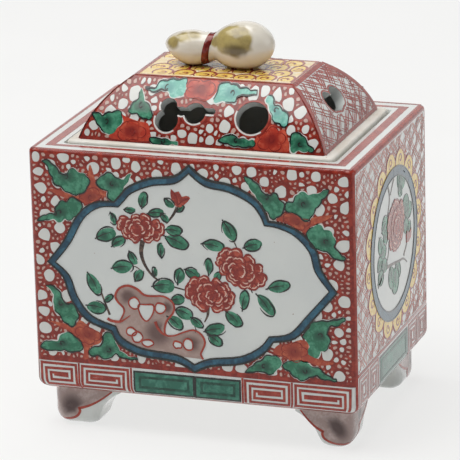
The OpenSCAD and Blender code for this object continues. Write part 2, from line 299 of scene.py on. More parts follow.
# %% [markdown]
# ## Drawing a slab upwards
# The vessel and the lid are both built like a stack of rounded rectangles. A flat slab is extruded one
# step at a time, and each new step is resized. One list of rings then gives a whole section, outside and
# inside, and the rounded edges are only a few closer rings.

# %% Helpers that draw a section
def fresh_start():
    if bpy.context.mode != "OBJECT":
        bpy.ops.object.mode_set(mode="OBJECT")
    bpy.ops.object.select_all(action="DESELECT")


def pick(piece):
    """Makes a piece the active one, and the only one selected."""
    fresh_start()
    bpy.context.view_layer.objects.active = piece
    piece.select_set(True)


def named(name):
    """The piece that was just added, under its own name."""
    piece = bpy.context.object
    piece.name = name
    piece.data.name = name
    return piece


def edit_all():
    bpy.ops.object.mode_set(mode="EDIT")
    bpy.ops.mesh.select_all(action="SELECT")


def settle():
    bpy.ops.object.transform_apply(location=True, rotation=True, scale=True)


def rounded_slab(name, first_ring, corner_mm, steps=6):
    """A flat rounded rectangle, left in edit mode with everything selected."""
    half_x, half_y, z = first_ring
    fresh_start()
    bpy.ops.mesh.primitive_plane_add(size=2, location=(0, 0, z * MM))
    piece = named(name)
    piece.scale = (half_x * MM, half_y * MM, 1)
    bpy.ops.object.transform_apply(location=True, rotation=False, scale=True)
    edit_all()
    bpy.ops.mesh.bevel(offset=corner_mm * MM, segments=steps, affect="VERTICES")
    bpy.ops.mesh.select_all(action="SELECT")
    return piece


def ring(half, grow, z):
    """A level ring at height z that lies grow outside a half length and half width."""
    return (half[0] + grow, half[1] + grow, z)


def rounded_edge(half, z, radius, turns, steps):
    """Rings round an edge. turns gives the first and last angle from level, in degrees, about a centre that
    lies radius inside half at height z."""
    rings = []
    for step in range(steps + 1):
        angle = math.radians(turns[0] + (turns[1] - turns[0]) * step / steps)
        rings.append(ring(half, -radius * (1 - math.cos(angle)), z + radius * math.sin(angle)))
    return rings


def draw_through(rings):
    """Extrudes the selection from ring to ring. A ring is half its length, half its width and its height."""
    for old, new in zip(rings, rings[1:]):
        step = (0, 0, (new[2] - old[2]) * MM)
        bpy.ops.mesh.extrude_region_move(TRANSFORM_OT_translate={"value": step})
        ratio = (new[0] / old[0], new[1] / old[1], 1)
        bpy.ops.transform.resize(value=ratio, center_override=(0, 0, new[2] * MM))


def join_ends():
    """Bridges the first and the last ring of a section that closes on itself."""
    bpy.ops.mesh.select_all(action="DESELECT")
    bpy.ops.mesh.select_non_manifold()
    bpy.ops.mesh.bridge_edge_loops()


def close_up(piece, sharp_degrees):
    """Merges, turns the faces outwards and smooths the gentle edges."""
    edit_all()
    bpy.ops.mesh.remove_doubles(threshold=0.001 * MM)
    bpy.ops.mesh.normals_make_consistent(inside=False)
    bpy.ops.object.mode_set(mode="OBJECT")
    bpy.ops.object.shade_smooth_by_angle(angle=math.radians(sharp_degrees))
    print(piece.name, "faces:", len(piece.data.polygons))


def set_finish(piece, material, body):
    """Gives a finished piece its material and the body it rides on."""
    piece.data.materials.clear()
    piece.data.materials.append(material)
    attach(piece, body)


# %% [markdown]
# ## The vessel
# Four wall slabs, a floor and rim strips are luted together and vanish under one glaze, so the vessel is
# one skin. It starts under the floor, goes up the outside, over the rim, down past the step that the lid
# sits on, under the rim strip and down to the chamber floor.

# %% Vessel skin
BODY = (HALF_W, HALF_D)
MOUTH = (HALF_W - RIM_W, HALF_D - RIM_W)
LEDGE = (MOUTH[0] - SEAT_W, MOUTH[1] - SEAT_W)
ROOM = (HALF_W - WALL_T, HALF_D - WALL_T)
vessel_rings = [
    *rounded_edge(BODY, BASE_Z + BASE_R, BASE_R, (-90, 0), 8),
    ring(BODY, 0, BASE_Z + BASE_R + 0.3), ring(BODY, 0, RIM_Z - TOP_R - 0.2),
    *rounded_edge(BODY, RIM_Z - TOP_R, TOP_R, (0, 90), 5),
    ring(MOUTH, 0.6, RIM_Z), ring(MOUTH, 0.18, RIM_Z - 0.12), ring(MOUTH, 0, RIM_Z - 0.5),
    ring(MOUTH, 0, SEAT_Z), ring(LEDGE, 0.4, SEAT_Z), ring(LEDGE, 0, SEAT_Z - 0.4),
    ring(LEDGE, 0, RIM_LOW + 0.6), ring(LEDGE, 0.6, RIM_LOW), ring(ROOM, 0, RIM_LOW),
    ring(ROOM, 0, FLOOR_Z + 2), ring(ROOM, -0.6, FLOOR_Z + 0.6), ring(ROOM, -2, FLOOR_Z),
]
vessel = rounded_slab("vessel_porcelain", vessel_rings[0], CORNER_R)
draw_through(vessel_rings)
close_up(vessel, sharp_degrees=32)
set_finish(vessel, porcelain, "vessel")
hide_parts("floor_slab", "front_wall", "back_wall", "left_wall", "right_wall")
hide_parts("front_rim", "back_rim", "left_rim", "right_rim")

# %% [markdown]
# The underside is wiped clean of glaze before firing, so its faces take the bare clay.

# %% Bare underside
vessel.data.materials.append(bare_clay)
for face in vessel.data.polygons:
    if face.center.z < (BASE_Z + 0.2) * MM and face.normal.z < -0.9:
        face.material_index = 1
print("bare faces under the vessel:", sum(face.material_index for face in vessel.data.polygons))

# %% [markdown]
# ## The feet
# Each bracket foot stands under a corner: a round toe that runs on into a hollow, and thin where it ends
# under the base. The right-hand feet are a little shorter along the long walls. Level sections are
# rounded rectangles, so a foot is a skin over a few of them. Each kind is modelled once and mirrored into
# its two places.

# %% Outline of a foot
FOOT_SPAN = 19.5
FOOT_EDGE = 4.25
TOE_AT, TOE_R = 10.25, 2.75
TOE_TOP = 2.11
HOLLOW_AT, HOLLOW_Z, HOLLOW_R = 24.6, -0.66, 12
RIGHT_TRIM = 3.6
FOOT_IN = 3.1
FOOT_LEVELS = (
    0, 0.1, 0.4, 0.9, 1.5, TOE_TOP, 2.8, 3.5, 4.25, 5.2, 6.2, 7.1, 8, 8.8, 9.5, 10.2, BASE_Z,
)


def foot_near(z):
    """How far the rounded toe draws in from the outer side at height z."""
    return FOOT_EDGE - math.sqrt(FOOT_EDGE ** 2 - max(FOOT_EDGE - z, 0) ** 2)


def foot_far(z, trim=0):
    """How far the foot reaches along the wall at height z: a round toe, then the hollow."""
    if z < TOE_TOP:
        return TOE_AT + math.sqrt(TOE_R ** 2 - (TOE_R - z) ** 2) - trim
    return min(HOLLOW_AT - math.sqrt(HOLLOW_R ** 2 - (z - HOLLOW_Z) ** 2), FOOT_SPAN) - trim


def foot_section(z, trim):
    """A level section, with the foot's outer corner at the origin and its body towards -X and -Y."""
    near, far_x, far_y = foot_near(z), foot_far(z, trim), foot_far(z)
    soft = min(2.4 if z < 7 else 1.5, (far_x - near) / 3)
    outline = []
    for x, y, radius, start in (
        (-near, -near, max(FOOT_EDGE - near, 0.2), 0), (-far_x, -near, soft, 90),
        (-far_x, -far_y, soft, 180), (-near, -far_y, soft, 270),
    ):
        middle_x = x + (radius if start in (90, 180) else -radius)
        middle_y = y + (radius if start in (180, 270) else -radius)
        for step in range(8):
            turn = math.radians(start + 90 * step / 7)
            outline.append((middle_x + radius * math.cos(turn), middle_y + radius * math.sin(turn), z))
    return outline


print("foot reaches in mm:", [round(foot_far(z), 1) for z in FOOT_LEVELS])

# %% A foot of either kind
def foot_skin(name, trim):
    points = [Vector(place) * MM for z in FOOT_LEVELS for place in foot_section(z, trim)]
    count = len(points) // len(FOOT_LEVELS)
    faces = [list(range(count)), list(range(len(points) - count, len(points)))]
    for low in range(0, len(points) - count, count):
        for side in range(count):
            after = (side + 1) % count
            faces.append((low + side, low + after, low + count + after, low + count + side))
    mesh = bpy.data.meshes.new(name)
    mesh.from_pydata(points, [], faces)
    return mesh


foot_skins = {-1: foot_skin("left foot", 0), 1: foot_skin("right foot", RIGHT_TRIM)}
print("faces of a foot:", len(foot_skins[1].polygons))

# %% Four feet
FEET = {"front_left": (-1, -1), "front_right": (1, -1), "back_left": (-1, 1), "back_right": (1, 1)}
for name, (side_x, side_y) in FEET.items():
    foot = bpy.data.objects.new(name + "_foot_porcelain", foot_skins[side_x].copy())
    foot.data.name = foot.name
    bpy.context.scene.collection.objects.link(foot)
    foot.location = Vector((side_x * (HALF_W - FOOT_IN), side_y * (HALF_D - FOOT_IN), 0)) * MM
    foot.scale = (side_x, side_y, 1)
    pick(foot)
    settle()
    close_up(foot, sharp_degrees=40)
    set_finish(foot, porcelain, "vessel")
    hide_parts(name + "_foot")
for skin in foot_skins.values():
    bpy.data.meshes.remove(skin)

# %% [markdown]
# ## The dome of the lid
# The lid's four panels swell a little as they lean in, so each is part of a circle in the side view. The
# dome is a shell drawn from its ceiling down the inside, across its foot and up the outside to the flat
# top.

# %% Curves of the lid
SWELL_X = (7.22, 70.99, 29.43)
SWELL_Y = (-2.80, 72.86, 27.74)
PANEL_T = 3


def lean(swell, z, inward=0.0):
    """How far the panel stands from the middle at height z, on its outside or inward of it."""
    centre, level, radius = swell
    return centre + math.sqrt((radius - inward) ** 2 - (z - level) ** 2)


def dome_ring(z, inward=0.0):
    return (lean(SWELL_X, z, inward), lean(SWELL_Y, z, inward), z)


dome_foot, dome_top = dome_ring(FLANGE_Z), dome_ring(LID_Z)
print("dome foot:", [round(side, 1) for side in dome_foot], "top:", [round(side, 1) for side in dome_top])

# %% Dome shell
SHOULDER_Z = LID_Z - 0.6
inside = [dome_ring(PANEL_TOP_Z + (FLANGE_Z - PANEL_TOP_Z) * step / 8, PANEL_T) for step in range(9)]
outside = [dome_ring(FLANGE_Z + (SHOULDER_Z - FLANGE_Z) * step / 14) for step in range(15)]
shoulder_x, shoulder_y, _ = dome_ring(SHOULDER_Z)
dome_rings = inside + outside
dome_rings.append((shoulder_x - 0.42, shoulder_y - 0.34, LID_Z - 0.26))
dome_rings.append((shoulder_x - 1.1, shoulder_y - 0.95, LID_Z))
dome = rounded_slab("lid_dome", dome_rings[0], 0.6, 4)
draw_through(dome_rings)
close_up(dome, sharp_degrees=28)

# %% [markdown]
# ## Smoke vents
# Each long panel has a round vent and a cloud-shaped one, and each short panel a heart. They were cut in
# the leather-hard clay with a knife held square to the slope. Here cutters do that: round rods and flat
# plates, each taken away with a Boolean.

# %% Where a vent sits on a slope
SLOPE_AT = {"long": (19.16, 86.8, 0.804, 0.595), "short": (30.33, 86.8, 0.844, 0.536)}
ROUND_VENT = ((13.6, 0.8, 4.5),)
CLOUD_VENT = ((-10.36, -1.44, 3.2), (-10.36, 2.56, 2.3), (-2.66, 0.96, 2.94))
CLOUD_BAR = ((-10.36, 1.28), (-2.66, 1.28), 1.28)
CLOUD_TAIL = ((-2.66, 1.76), (2.12, 1.76), 0.9)
HEART_LOBES = ((-2.88, 2.4, 3.12), (2.88, 2.4, 3.12))
HEART_TIP = ((0, -1.44), (3.56, -0.645), (2.88, 2.4), (-2.88, 2.4), (-3.56, -0.645))
FACING = {"front": (0, -1), "back": (0, 1), "left": (-1, 0), "right": (1, 0)}
CUT_DEPTH = 16


def slope_frame(side):
    """Middle of a panel, and its across, up-slope and outward directions."""
    out, z, level, rise = SLOPE_AT["long" if side in ("front", "back") else "short"]
    x, y = FACING[side]
    outward = Vector((x * level, y * level, rise))
    across = Vector((-y, x, 0))
    return Vector((x * out, y * out, z)), across, outward.cross(across), outward


def cutter_rod(side, u, s, radius):
    """A rod square to the slope, in the panel's own places."""
    middle, across, up, outward = slope_frame(side)
    fresh_start()
    bpy.ops.mesh.primitive_cylinder_add(vertices=40, radius=radius * MM, depth=CUT_DEPTH * MM)
    rod = bpy.context.object
    rod.rotation_mode = "QUATERNION"
    rod.rotation_quaternion = outward.to_track_quat("Z", "Y")
    rod.location = (middle + across * u + up * s) * MM
    settle()
    return rod


def cutter_plate(side, outline):
    """A thick plate with that outline, square to the slope."""
    middle, across, up, outward = slope_frame(side)
    fresh_start()
    bpy.ops.mesh.primitive_circle_add(vertices=len(outline), radius=MM, fill_type="NGON")
    plate = bpy.context.object
    for vert, (u, s) in zip(plate.data.vertices, outline):
        vert.co = (middle + across * u + up * s - outward * (CUT_DEPTH / 2)) * MM
    edit_all()
    bpy.ops.mesh.extrude_region_move(TRANSFORM_OT_translate={"value": outward * CUT_DEPTH * MM})
    bpy.ops.mesh.select_all(action="SELECT")
    bpy.ops.mesh.normals_make_consistent(inside=False)
    bpy.ops.object.mode_set(mode="OBJECT")
    return plate


def cut_away(piece, cutter):
    pick(piece)
    bpy.ops.object.modifier_add(type="BOOLEAN")
    modifier = piece.modifiers[-1]
    modifier.operation = "DIFFERENCE"
    modifier.solver = "EXACT"
    modifier.object = cutter
    bpy.ops.object.modifier_apply(modifier=modifier.name)
    bpy.data.objects.remove(cutter)


def bar_outline(start, end, half):
    low = [(start[0], start[1] - half), (end[0], end[1] - half)]
    return low + [(end[0], end[1] + half), (start[0], start[1] + half)]


# %% Cut the vents
for side in ("front", "back"):
    for u, s, radius in ROUND_VENT + CLOUD_VENT:
        cut_away(dome, cutter_rod(side, u, s, radius))
    cut_away(dome, cutter_plate(side, bar_outline(*CLOUD_BAR)))
    cut_away(dome, cutter_plate(side, bar_outline(*CLOUD_TAIL)))
    cut_away(dome, cutter_rod(side, *CLOUD_TAIL[1], CLOUD_TAIL[2]))
for side in ("left", "right"):
    for u, s, radius in HEART_LOBES:
        cut_away(dome, cutter_rod(side, u, s, radius))
    cut_away(dome, cutter_plate(side, HEART_TIP))
pick(dome)
close_up(dome, sharp_degrees=30)
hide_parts("lid_front_panel", "lid_back_panel", "lid_left_panel", "lid_right_panel", "lid_top_slab")
set_finish(dome, porcelain, "lid")

# %% [markdown]
# The outside of the long panels is washed with iron red, and the flat top with yellow. These washes have
# no thickness to speak of, so they are finishes on the dome's own faces.

# %% Washes on the dome
dome.data.materials.append(FINISHES["iron_red"])
dome.data.materials.append(FINISHES["top_yellow"])
RED_WASH, YELLOW_WASH = 1, 2
_, _, long_level, long_rise = SLOPE_AT["long"]
for face in dome.data.polygons:
    on_long_panel = long_level * abs(face.normal.y) + long_rise * face.normal.z > 0.8
    depth = lean(SWELL_Y, min(face.center.z / MM, LID_Z)) - abs(face.center.y / MM)
    if on_long_panel and depth < 0.8 and face.center.z > (FLANGE_Z + 0.01) * MM:
        face.material_index = RED_WASH
    if face.normal.z > 0.3 and face.center.z > (LID_Z - 0.55) * MM:
        face.material_index = YELLOW_WASH if face.normal.z > 0.98 else RED_WASH
print("washed faces:", sum(1 for face in dome.data.polygons if face.material_index))

# %% [markdown]
# ## Flange and collar
# The flange is the flat border that rests on the step of the rim, and the collar below it keeps the lid
# from sliding off. Both were left bare, or the lid would fuse to the vessel in the kiln. Together they
# are a closed ring: an edge is drawn round the section and its two ends are bridged.

# %% Flange and collar ring
COLLAR_T = 3
COLLAR = (COLLAR_HIGH.x, COLLAR_HIGH.y)
COLLAR_IN = (COLLAR[0] - COLLAR_T, COLLAR[1] - COLLAR_T)
seat_rings = [
    ring(COLLAR_IN, 0, FLANGE_Z - 0.02), ring(FLANGE_HALF, -0.9, FLANGE_Z - 0.02),
    *rounded_edge(FLANGE_HALF, FLANGE_Z - 0.82, 0.8, (85, 0), 5),
    *rounded_edge(FLANGE_HALF, SEAT_Z + 0.4, 0.4, (0, -90), 3),
    ring(COLLAR, 0.3, SEAT_Z), ring(COLLAR, 0, SEAT_Z - 0.3),
    *rounded_edge(COLLAR, COLLAR_LOW.z + 0.6, 0.6, (0, -90), 3),
    ring(COLLAR_IN, 0.5, COLLAR_LOW.z), ring(COLLAR_IN, 0, COLLAR_LOW.z + 0.5),
]
lid_seat = rounded_slab("lid_seat", seat_rings[0], 1.2)
bpy.ops.mesh.delete(type="ONLY_FACE")
bpy.ops.mesh.select_mode(type="EDGE")
bpy.ops.mesh.select_all(action="SELECT")
draw_through(seat_rings)
join_ends()
close_up(lid_seat, sharp_degrees=40)
set_finish(lid_seat, bare_clay, "lid")
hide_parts("lid_flange", "lid_collar")

# %% [markdown]
# ## The gourd
# The knob is a small bottle gourd, modelled by hand and laid on its side. Its radius along the axis is
# two eggs and a neck blended into one line. A disc is drawn along that line, its tip is bent up a little,
# and the whole is turned to lie on the lid.

# %% Gourd profile
GOURD_LEN = 31.5
GOURD_SHIFT = 2.6
GOURD_BACK = 1.5
LARGE_BED = 0.5
SMALL_BED = 0.3
LARGE_BULB = (0.735, (0.33, 0.265), (0.57, 0.57), 13.4)
SMALL_BULB = (0.26, (0.26, 0.2), (0.66, 0.57), 9.9)
WAIST = (0.41, 0.09, 8)


def egg(share, bulb):
    """Radius of a bulb at a share of the length. A larger power makes that side more pointed."""
    at, reaches, powers, width = bulb
    side = 0 if share < at else 1
    along = (share - at) / reaches[side]
    return 0.0 if abs(along) >= 1 else width / 2 * (1 - along * along) ** powers[side]


def gourd_radius(share):
    neck = WAIST[2] / 2 * math.exp(-((share - WAIST[0]) / WAIST[1]) ** 2)
    return (egg(share, SMALL_BULB) ** 6 + egg(share, LARGE_BULB) ** 6 + neck ** 6) ** (1 / 6)


bulb_gap = (LARGE_BULB[0] - SMALL_BULB[0]) * GOURD_LEN
GOURD_LEAN = math.atan((LARGE_BULB[3] / 2 - LARGE_BED - SMALL_BULB[3] / 2 + SMALL_BED) / bulb_gap)
GOURD_Z = LID_Z - LARGE_BED + LARGE_BULB[3] / 2 - (LARGE_BULB[0] - 0.5) * GOURD_LEN * math.tan(GOURD_LEAN)
print("gourd leans by", round(math.degrees(GOURD_LEAN), 1), "degrees, axis at", round(GOURD_Z, 1), "mm")

# %% Gourd body
TIP_BEND = 1.6
gourd_shares = [0.0008, 0.004, 0.012, 0.025, 0.045] + [0.07 + 0.03 * step for step in range(30)]
gourd_shares += [0.964, 0.98, 0.99, 0.996, 0.9992]


def drawn_round(name, rings, fill):
    """A disc or a hoop drawn along Z through rings of a radius and a share of the gourd's length."""
    rings = [(radius, radius, (share - 0.5) * GOURD_LEN) for radius, share in rings]
    fresh_start()
    bpy.ops.mesh.primitive_circle_add(vertices=48, radius=rings[0][0] * MM, fill_type=fill)
    piece = named(name)
    piece.location.z = rings[0][2] * MM
    settle()
    edit_all()
    draw_through(rings)
    return piece


def share_at(vert):
    return vert.co.z / (GOURD_LEN * MM) + 0.5


def lay_on_lid(piece):
    """Turns a piece drawn along Z so that it lies on the lid, small end to the left."""
    pick(piece)
    piece.rotation_euler = (0, math.pi / 2 - GOURD_LEAN, 0)
    piece.location = Vector((-GOURD_SHIFT, GOURD_BACK, GOURD_Z)) * MM
    settle()


gourd = drawn_round("gourd_body", [(gourd_radius(share), share) for share in gourd_shares], "TRIFAN")
close_up(gourd, sharp_degrees=60)
for vert in gourd.data.vertices:
    vert.co.x -= TIP_BEND * max(0, 1 - share_at(vert) / SMALL_BULB[0]) ** 1.5 * MM
lay_on_lid(gourd)

# %% [markdown]
# The gourd's glaze is a warm grey-white with patches of thin olive, and a darker patch on the front of the
# large bulb. A brown band round its base, where it sits on the lid, is painted shade with the yellow of the
# lid reflected in it. Each patch is a dab at a place on the gourd, with a ragged edge.

# %% Gourd glaze
OLIVE_DABS = (
    ((3.2, -3.6, 105.0), 3.9, 5.0, 0.45, (0.78, 1, 1)), ((-15.0, -1.6, 102.9), 1.0, 2.4, 0.3, (0.7, 1, 1)),
    ((-12.2, -1.4, 104.4), 1.1, 2.4, 0.3, (0.7, 1, 1)), ((-9.4, -1.0, 105.4), 0.7, 2.0, 0.3, (0.7, 1, 1)),
    ((-2.6, -2.6, 104.2), 1.0, 2.2, 0.3, (0.7, 1, 1)), ((3.6, 6.4, 103.8), 3.2, 4.6, 0.45),
)
# A darker patch on the front of the large bulb.
FRONT_DARK_PATCH = ((4.0, -5.4, 102.4), 0.9, 3.4, 0.4, (0.72, 1, 1.2))
# Painted shade and reflected yellow: a brown band round the gourd's base, where it sits on the lid.
BASE_SHADE_AND_REFLECTION = ((0, 0, LID_Z), 0.3, 1.3, 0.3, (0, 0, 1))
SPECK = ((11.2, -2.6, 105.4), 0.16, 0.36, 0.05)
TIP = ((-18.2, 1.5, 101.6), 0.5, 1.3, 0.05)
glaze = Finish("pale glaze with olive patches")
cream = glaze.clouds(9, 3, 0.3, 0.7, pigment(226, 221, 210), pigment(214, 206, 191))
olive = glaze.clouds(3.0, 3, 0.35, 0.65, pigment(128, 108, 34), pigment(166, 146, 70))
patch = 0.0
for place in OLIVE_DABS:
    patch = glaze.combine("MAXIMUM", patch, glaze.dab(*place))
skin = glaze.mix(glaze.combine("MULTIPLY", patch, 0.9), cream, olive)
for place, strength, stain_and_shade in (
    (FRONT_DARK_PATCH, 0.8, pigment(74, 56, 16)), (BASE_SHADE_AND_REFLECTION, 0.8, pigment(150, 104, 52)),
    (SPECK, 1, pigment(96, 56, 42)), (TIP, 1, pigment(96, 56, 42)),
):
    skin = glaze.mix(glaze.combine("MULTIPLY", glaze.dab(*place), strength), skin, stain_and_shade)
glaze.colour(skin)
glaze.gloss(0.14, 0.22)
glaze.coat(1.45, 0.35, 0.2)
glaze.bump(4, 0.05, 0.4)
set_finish(gourd, glaze.material, "lid")
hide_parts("gourd")
print("glaze nodes:", len(glaze.nodes))

# %% [markdown]
# The tie is a cord of thick red enamel round the waist. It is a ring drawn over the waist, a hair proud,
# and it was laid on aslant: its top leans towards the large bulb.

# %% Gourd tie
TIE_FROM, TIE_TO = 0.379, 0.441
TIE_SUNK = 0.5
TIE_LEAN = math.tan(math.radians(19))
tie_rings = [(gourd_radius(TIE_FROM) - TIE_SUNK, TIE_FROM)]
for step in range(7):
    share = TIE_FROM + (TIE_TO - TIE_FROM) * step / 6
    proud = 0.06 + 0.28 * math.sin(math.pi * step / 6)
    tie_rings.append((gourd_radius(share) + proud, share))
tie_rings.append((gourd_radius(TIE_TO) - TIE_SUNK, TIE_TO))
tie = drawn_round("gourd_cord", tie_rings, "NOTHING")
join_ends()
close_up(tie, sharp_degrees=60)
for vert in tie.data.vertices:
    old_radius = gourd_radius(share_at(vert))
    vert.co.z -= TIE_LEAN * vert.co.x
    reach = vert.co.xy.length
    grow = (reach + (gourd_radius(share_at(vert)) - old_radius) * MM) / reach
    vert.co.x *= grow
    vert.co.y *= grow
lay_on_lid(tie)
set_finish(tie, FINISHES["tie_red"], "lid")
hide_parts("gourd_tie")

# %% [markdown]
# ## Painting on a surface
# A decorator draws on the flat and lets the brush follow the form. Here a shape is also drawn flat, in
# millimetres along and up a wall, and then bent on to that wall. A surface is a rule that turns flat
# places into points, with the lines where a flat sheet has to fold: the rounded corners, and the swell of
# the lid.

# %% Surfaces that take paint
class Surface:
    def __init__(self, point, u_folds=(), v_folds=()):
        self.point = point
        self.u_folds = u_folds
        self.v_folds = v_folds


def on_side(side, along, out, z):
    """The point that lies so far along and out, as seen by someone who faces that side."""
    x, y = FACING[side]
    return Vector((x * out - y * along, x * along + y * out, z)) * MM


def wall_place(u, v, lift, half_u, half_out):
    """Along, out and up for a place u from the middle of a wall and v up it, round the corners."""
    flat = half_u - CORNER_R
    turn = min(max(abs(u) - flat, 0) / CORNER_R, math.pi / 2)
    along = math.copysign(min(abs(u), flat) + CORNER_R * math.sin(turn), u)
    out = half_out - CORNER_R * (1 - math.cos(turn))
    low = max(BASE_Z + BASE_R - PAINT_Z - v, 0) / BASE_R
    high = max(v - (PAINT_H - TOP_R), 0) / TOP_R
    tilt = min(high, 1) - min(low, 1)
    level = math.sqrt(max(0.0, 1 - tilt * tilt))
    inset = (BASE_R if low else TOP_R) * (1 - level)
    along *= (half_u - inset) / half_u
    out *= (half_out - inset) / half_out
    along += lift * level * math.copysign(math.sin(turn), u)
    out += lift * level * math.cos(turn)
    return along, out, PAINT_Z + v + lift * tilt


EDGE_FOLDS = (-1.2, -0.8, -0.4, 0.1, 0.7, 1.5, PAINT_H - TOP_R, PAINT_H - 0.6, PAINT_H - 0.25)
CORNER_FOLDS = (0, 0.5, 1.0, 1.35)
SLOPE_FOLDS = [0.9 + 1.1 * step for step in range(14)]
TOE_FOLDS = (1.6, 2.2, 2.9, 3.6, 4.25)


def wall_surface(side, half_u, half_out):
    def point(u, v, lift):
        return on_side(side, *wall_place(u, v, lift, half_u, half_out))

    places = [half_u - CORNER_R + step for step in CORNER_FOLDS]
    return Surface(point, [-place for place in places] + places, EDGE_FOLDS)


def level_surface(z):
    return Surface(lambda u, v, lift: Vector((u, v, z + lift)) * MM)


def slope_surface(side, swell):
    """A swelling panel of the lid. v is the height above the flange."""
    centre, level, radius = swell

    def point(u, v, lift):
        rise = (FLANGE_Z + v - level) / radius
        run = math.sqrt(1 - rise * rise)
        return on_side(side, u, centre + (radius + lift) * run, level + (radius + lift) * rise)

    return Surface(point, (), SLOPE_FOLDS)


def foot_surface(side_x, side_y):
    """The two outer sides of a foot and the round corner between them. u is 0 at the corner's middle."""
    quarter = FOOT_EDGE * math.pi / 4

    def point(u, v, lift):
        u *= side_x * side_y
        arc = min(max(u, -quarter), quarter)
        turn = math.pi / 4 + arc / FOOT_EDGE
        out = Vector((math.cos(turn), math.sin(turn)))
        way = Vector((-out.y, out.x))
        tilt = max(FOOT_EDGE - v, 0) / FOOT_EDGE
        level = math.sqrt(1 - tilt * tilt)
        reach = FOOT_EDGE - foot_near(v) + lift * level
        place = out * reach + way * (u - arc) - Vector((FOOT_EDGE, FOOT_EDGE))
        x, y = HALF_W - FOOT_IN + place.x, HALF_D - FOOT_IN + place.y
        return Vector((side_x * x, side_y * y, v - lift * tilt)) * MM

    return Surface(point, [quarter * step / 3 for step in range(-3, 4)], TOE_FOLDS)


FRONT, BACK = (wall_surface(side, HALF_W, HALF_D) for side in ("front", "back"))
RIGHT, LEFT = (wall_surface(side, HALF_D, HALF_W) for side in ("right", "left"))
RIM, LID_TOP = level_surface(RIM_Z), level_surface(LID_Z)
LID_FRONT, LID_BACK = (slope_surface(side, SWELL_Y) for side in ("front", "back"))
LID_RIGHT, LID_LEFT = (slope_surface(side, SWELL_X) for side in ("right", "left"))
print("surfaces ready; lid slope is", round(LID_Z - FLANGE_Z, 1), "mm high")

# %% [markdown]
# ## Brush strokes
# Three things cover the whole decoration: a filled shape, a line with a width that swells and thins, and
# a ruled line. Each is kept as flat outlines in a list for its colour, with its height above the glaze.

# %% Places on the flat
def pairs(outline):
    """Each point of a closed outline with the next one."""
    return zip(outline, outline[1:] + outline[:1])


def turned(u, v, turn, a, b):
    """The place that lies a along and b beside a direction, from (u, v)."""
    return (u + a * math.cos(turn) - b * math.sin(turn), v + a * math.sin(turn) + b * math.cos(turn))


def on_oval(u, v, half_u, half_v, turn):
    return (u + half_u * math.cos(turn), v + half_v * math.sin(turn))


def oval(u, v, half_u, half_v, count):
    return [on_oval(u, v, half_u, half_v, 2 * math.pi * step / count) for step in range(count)]


def drawn_in(place, middle, across, up):
    """The place, moved towards a middle by a share of its distance in each direction."""
    return (middle[0] + (place[0] - middle[0]) * across, middle[1] + (place[1] - middle[1]) * up)


def middle_of(outline):
    return tuple(sum(place[axis] for place in outline) / len(outline) for axis in (0, 1))


def holds(outline, u, v):
    """True if the place lies inside the outline."""
    found = False
    for a, b in pairs(outline):
        if (a[1] > v) != (b[1] > v) and u < (b[0] - a[0]) * (v - a[1]) / (b[1] - a[1]) + a[0]:
            found = not found
    return found


def kept_in(outline, middle, place):
    """The place, drawn towards a middle until it lies inside the outline."""
    for share in (1, 0.85, 0.7, 0.55, 0.4, 0.25):
        moved = drawn_in(place, middle, share, share)
        if holds(outline, *moved):
            return moved
    return drawn_in(place, middle, 0.1, 0.1)


def smooth(points, closed, steps):
    """A rounded line through a few given points."""
    count = len(points)
    line = []
    for index in range(count if closed else count - 1):
        near = [index + k for k in (-1, 0, 1, 2)]
        near = [k % count if closed else min(max(k, 0), count - 1) for k in near]
        for step in range(steps):
            t = step / steps
            place = []
            for axis in (0, 1):
                a, b, c, d = (points[k][axis] for k in near)
                square, cube = 2 * a - 5 * b + 4 * c - d, 3 * b - a - 3 * c + d
                place.append((2 * b + (c - a) * t + square * t ** 2 + cube * t ** 3) / 2)
            line.append(tuple(place))
    return line if closed else line + [points[-1]]


# %% Strokes
PAINT = {}
HAIRS = itertools.cycle([0.0025 * step for step in range(7)])
LEAST_AREA = 0.0005


def keep(colour, surface, outline, lift, pools=None):
    """Adds one flat outline to a colour, wound so that it faces out. pools marks its corners as dark."""
    outline = list(outline)
    pools = list(pools or [0] * len(outline))
    area = sum(a[0] * b[1] - b[0] * a[1] for a, b in pairs(outline)) / 2
    if abs(area) < LEAST_AREA:
        return
    if area < 0:
        outline.reverse()
        pools.reverse()
    PAINT.setdefault(colour, {}).setdefault(surface, []).append((outline, lift, pools))


def lay(colour, surface, outline, lift):
    """A filled shape, a hair above or below its neighbours, as one coat never lies level with the next."""
    keep(colour, surface, outline, lift + next(HAIRS))


def ribbon(colour, surface, line, widths, lift, closed=False):
    """A line with a width, which changes evenly through the given widths."""
    count = len(line)
    spans = count if closed else count - 1
    sides = []
    for index, (u, v) in enumerate(line):
        before = line[index - 1] if closed or index else line[0]
        after = line[(index + 1) % count] if closed or index < count - 1 else line[-1]
        du, dv = after[0] - before[0], after[1] - before[1]
        size = math.hypot(du, dv) or 1
        share = index / spans * (len(widths) - 1)
        low = min(int(share), len(widths) - 2)
        half = (widths[low] + (widths[low + 1] - widths[low]) * (share - low)) / 2
        du, dv = du / size * half, dv / size * half
        sides.append(((u - dv, v + du), (u + dv, v - du)))
    lift += next(HAIRS)
    for index in range(spans):
        a, b = sides[index], sides[(index + 1) % count]
        keep(colour, surface, [a[0], a[1], b[1], b[0]], lift)


def stroke(colour, surface, points, widths, lift, steps=4):
    ribbon(colour, surface, smooth(points, False, steps), widths, lift)


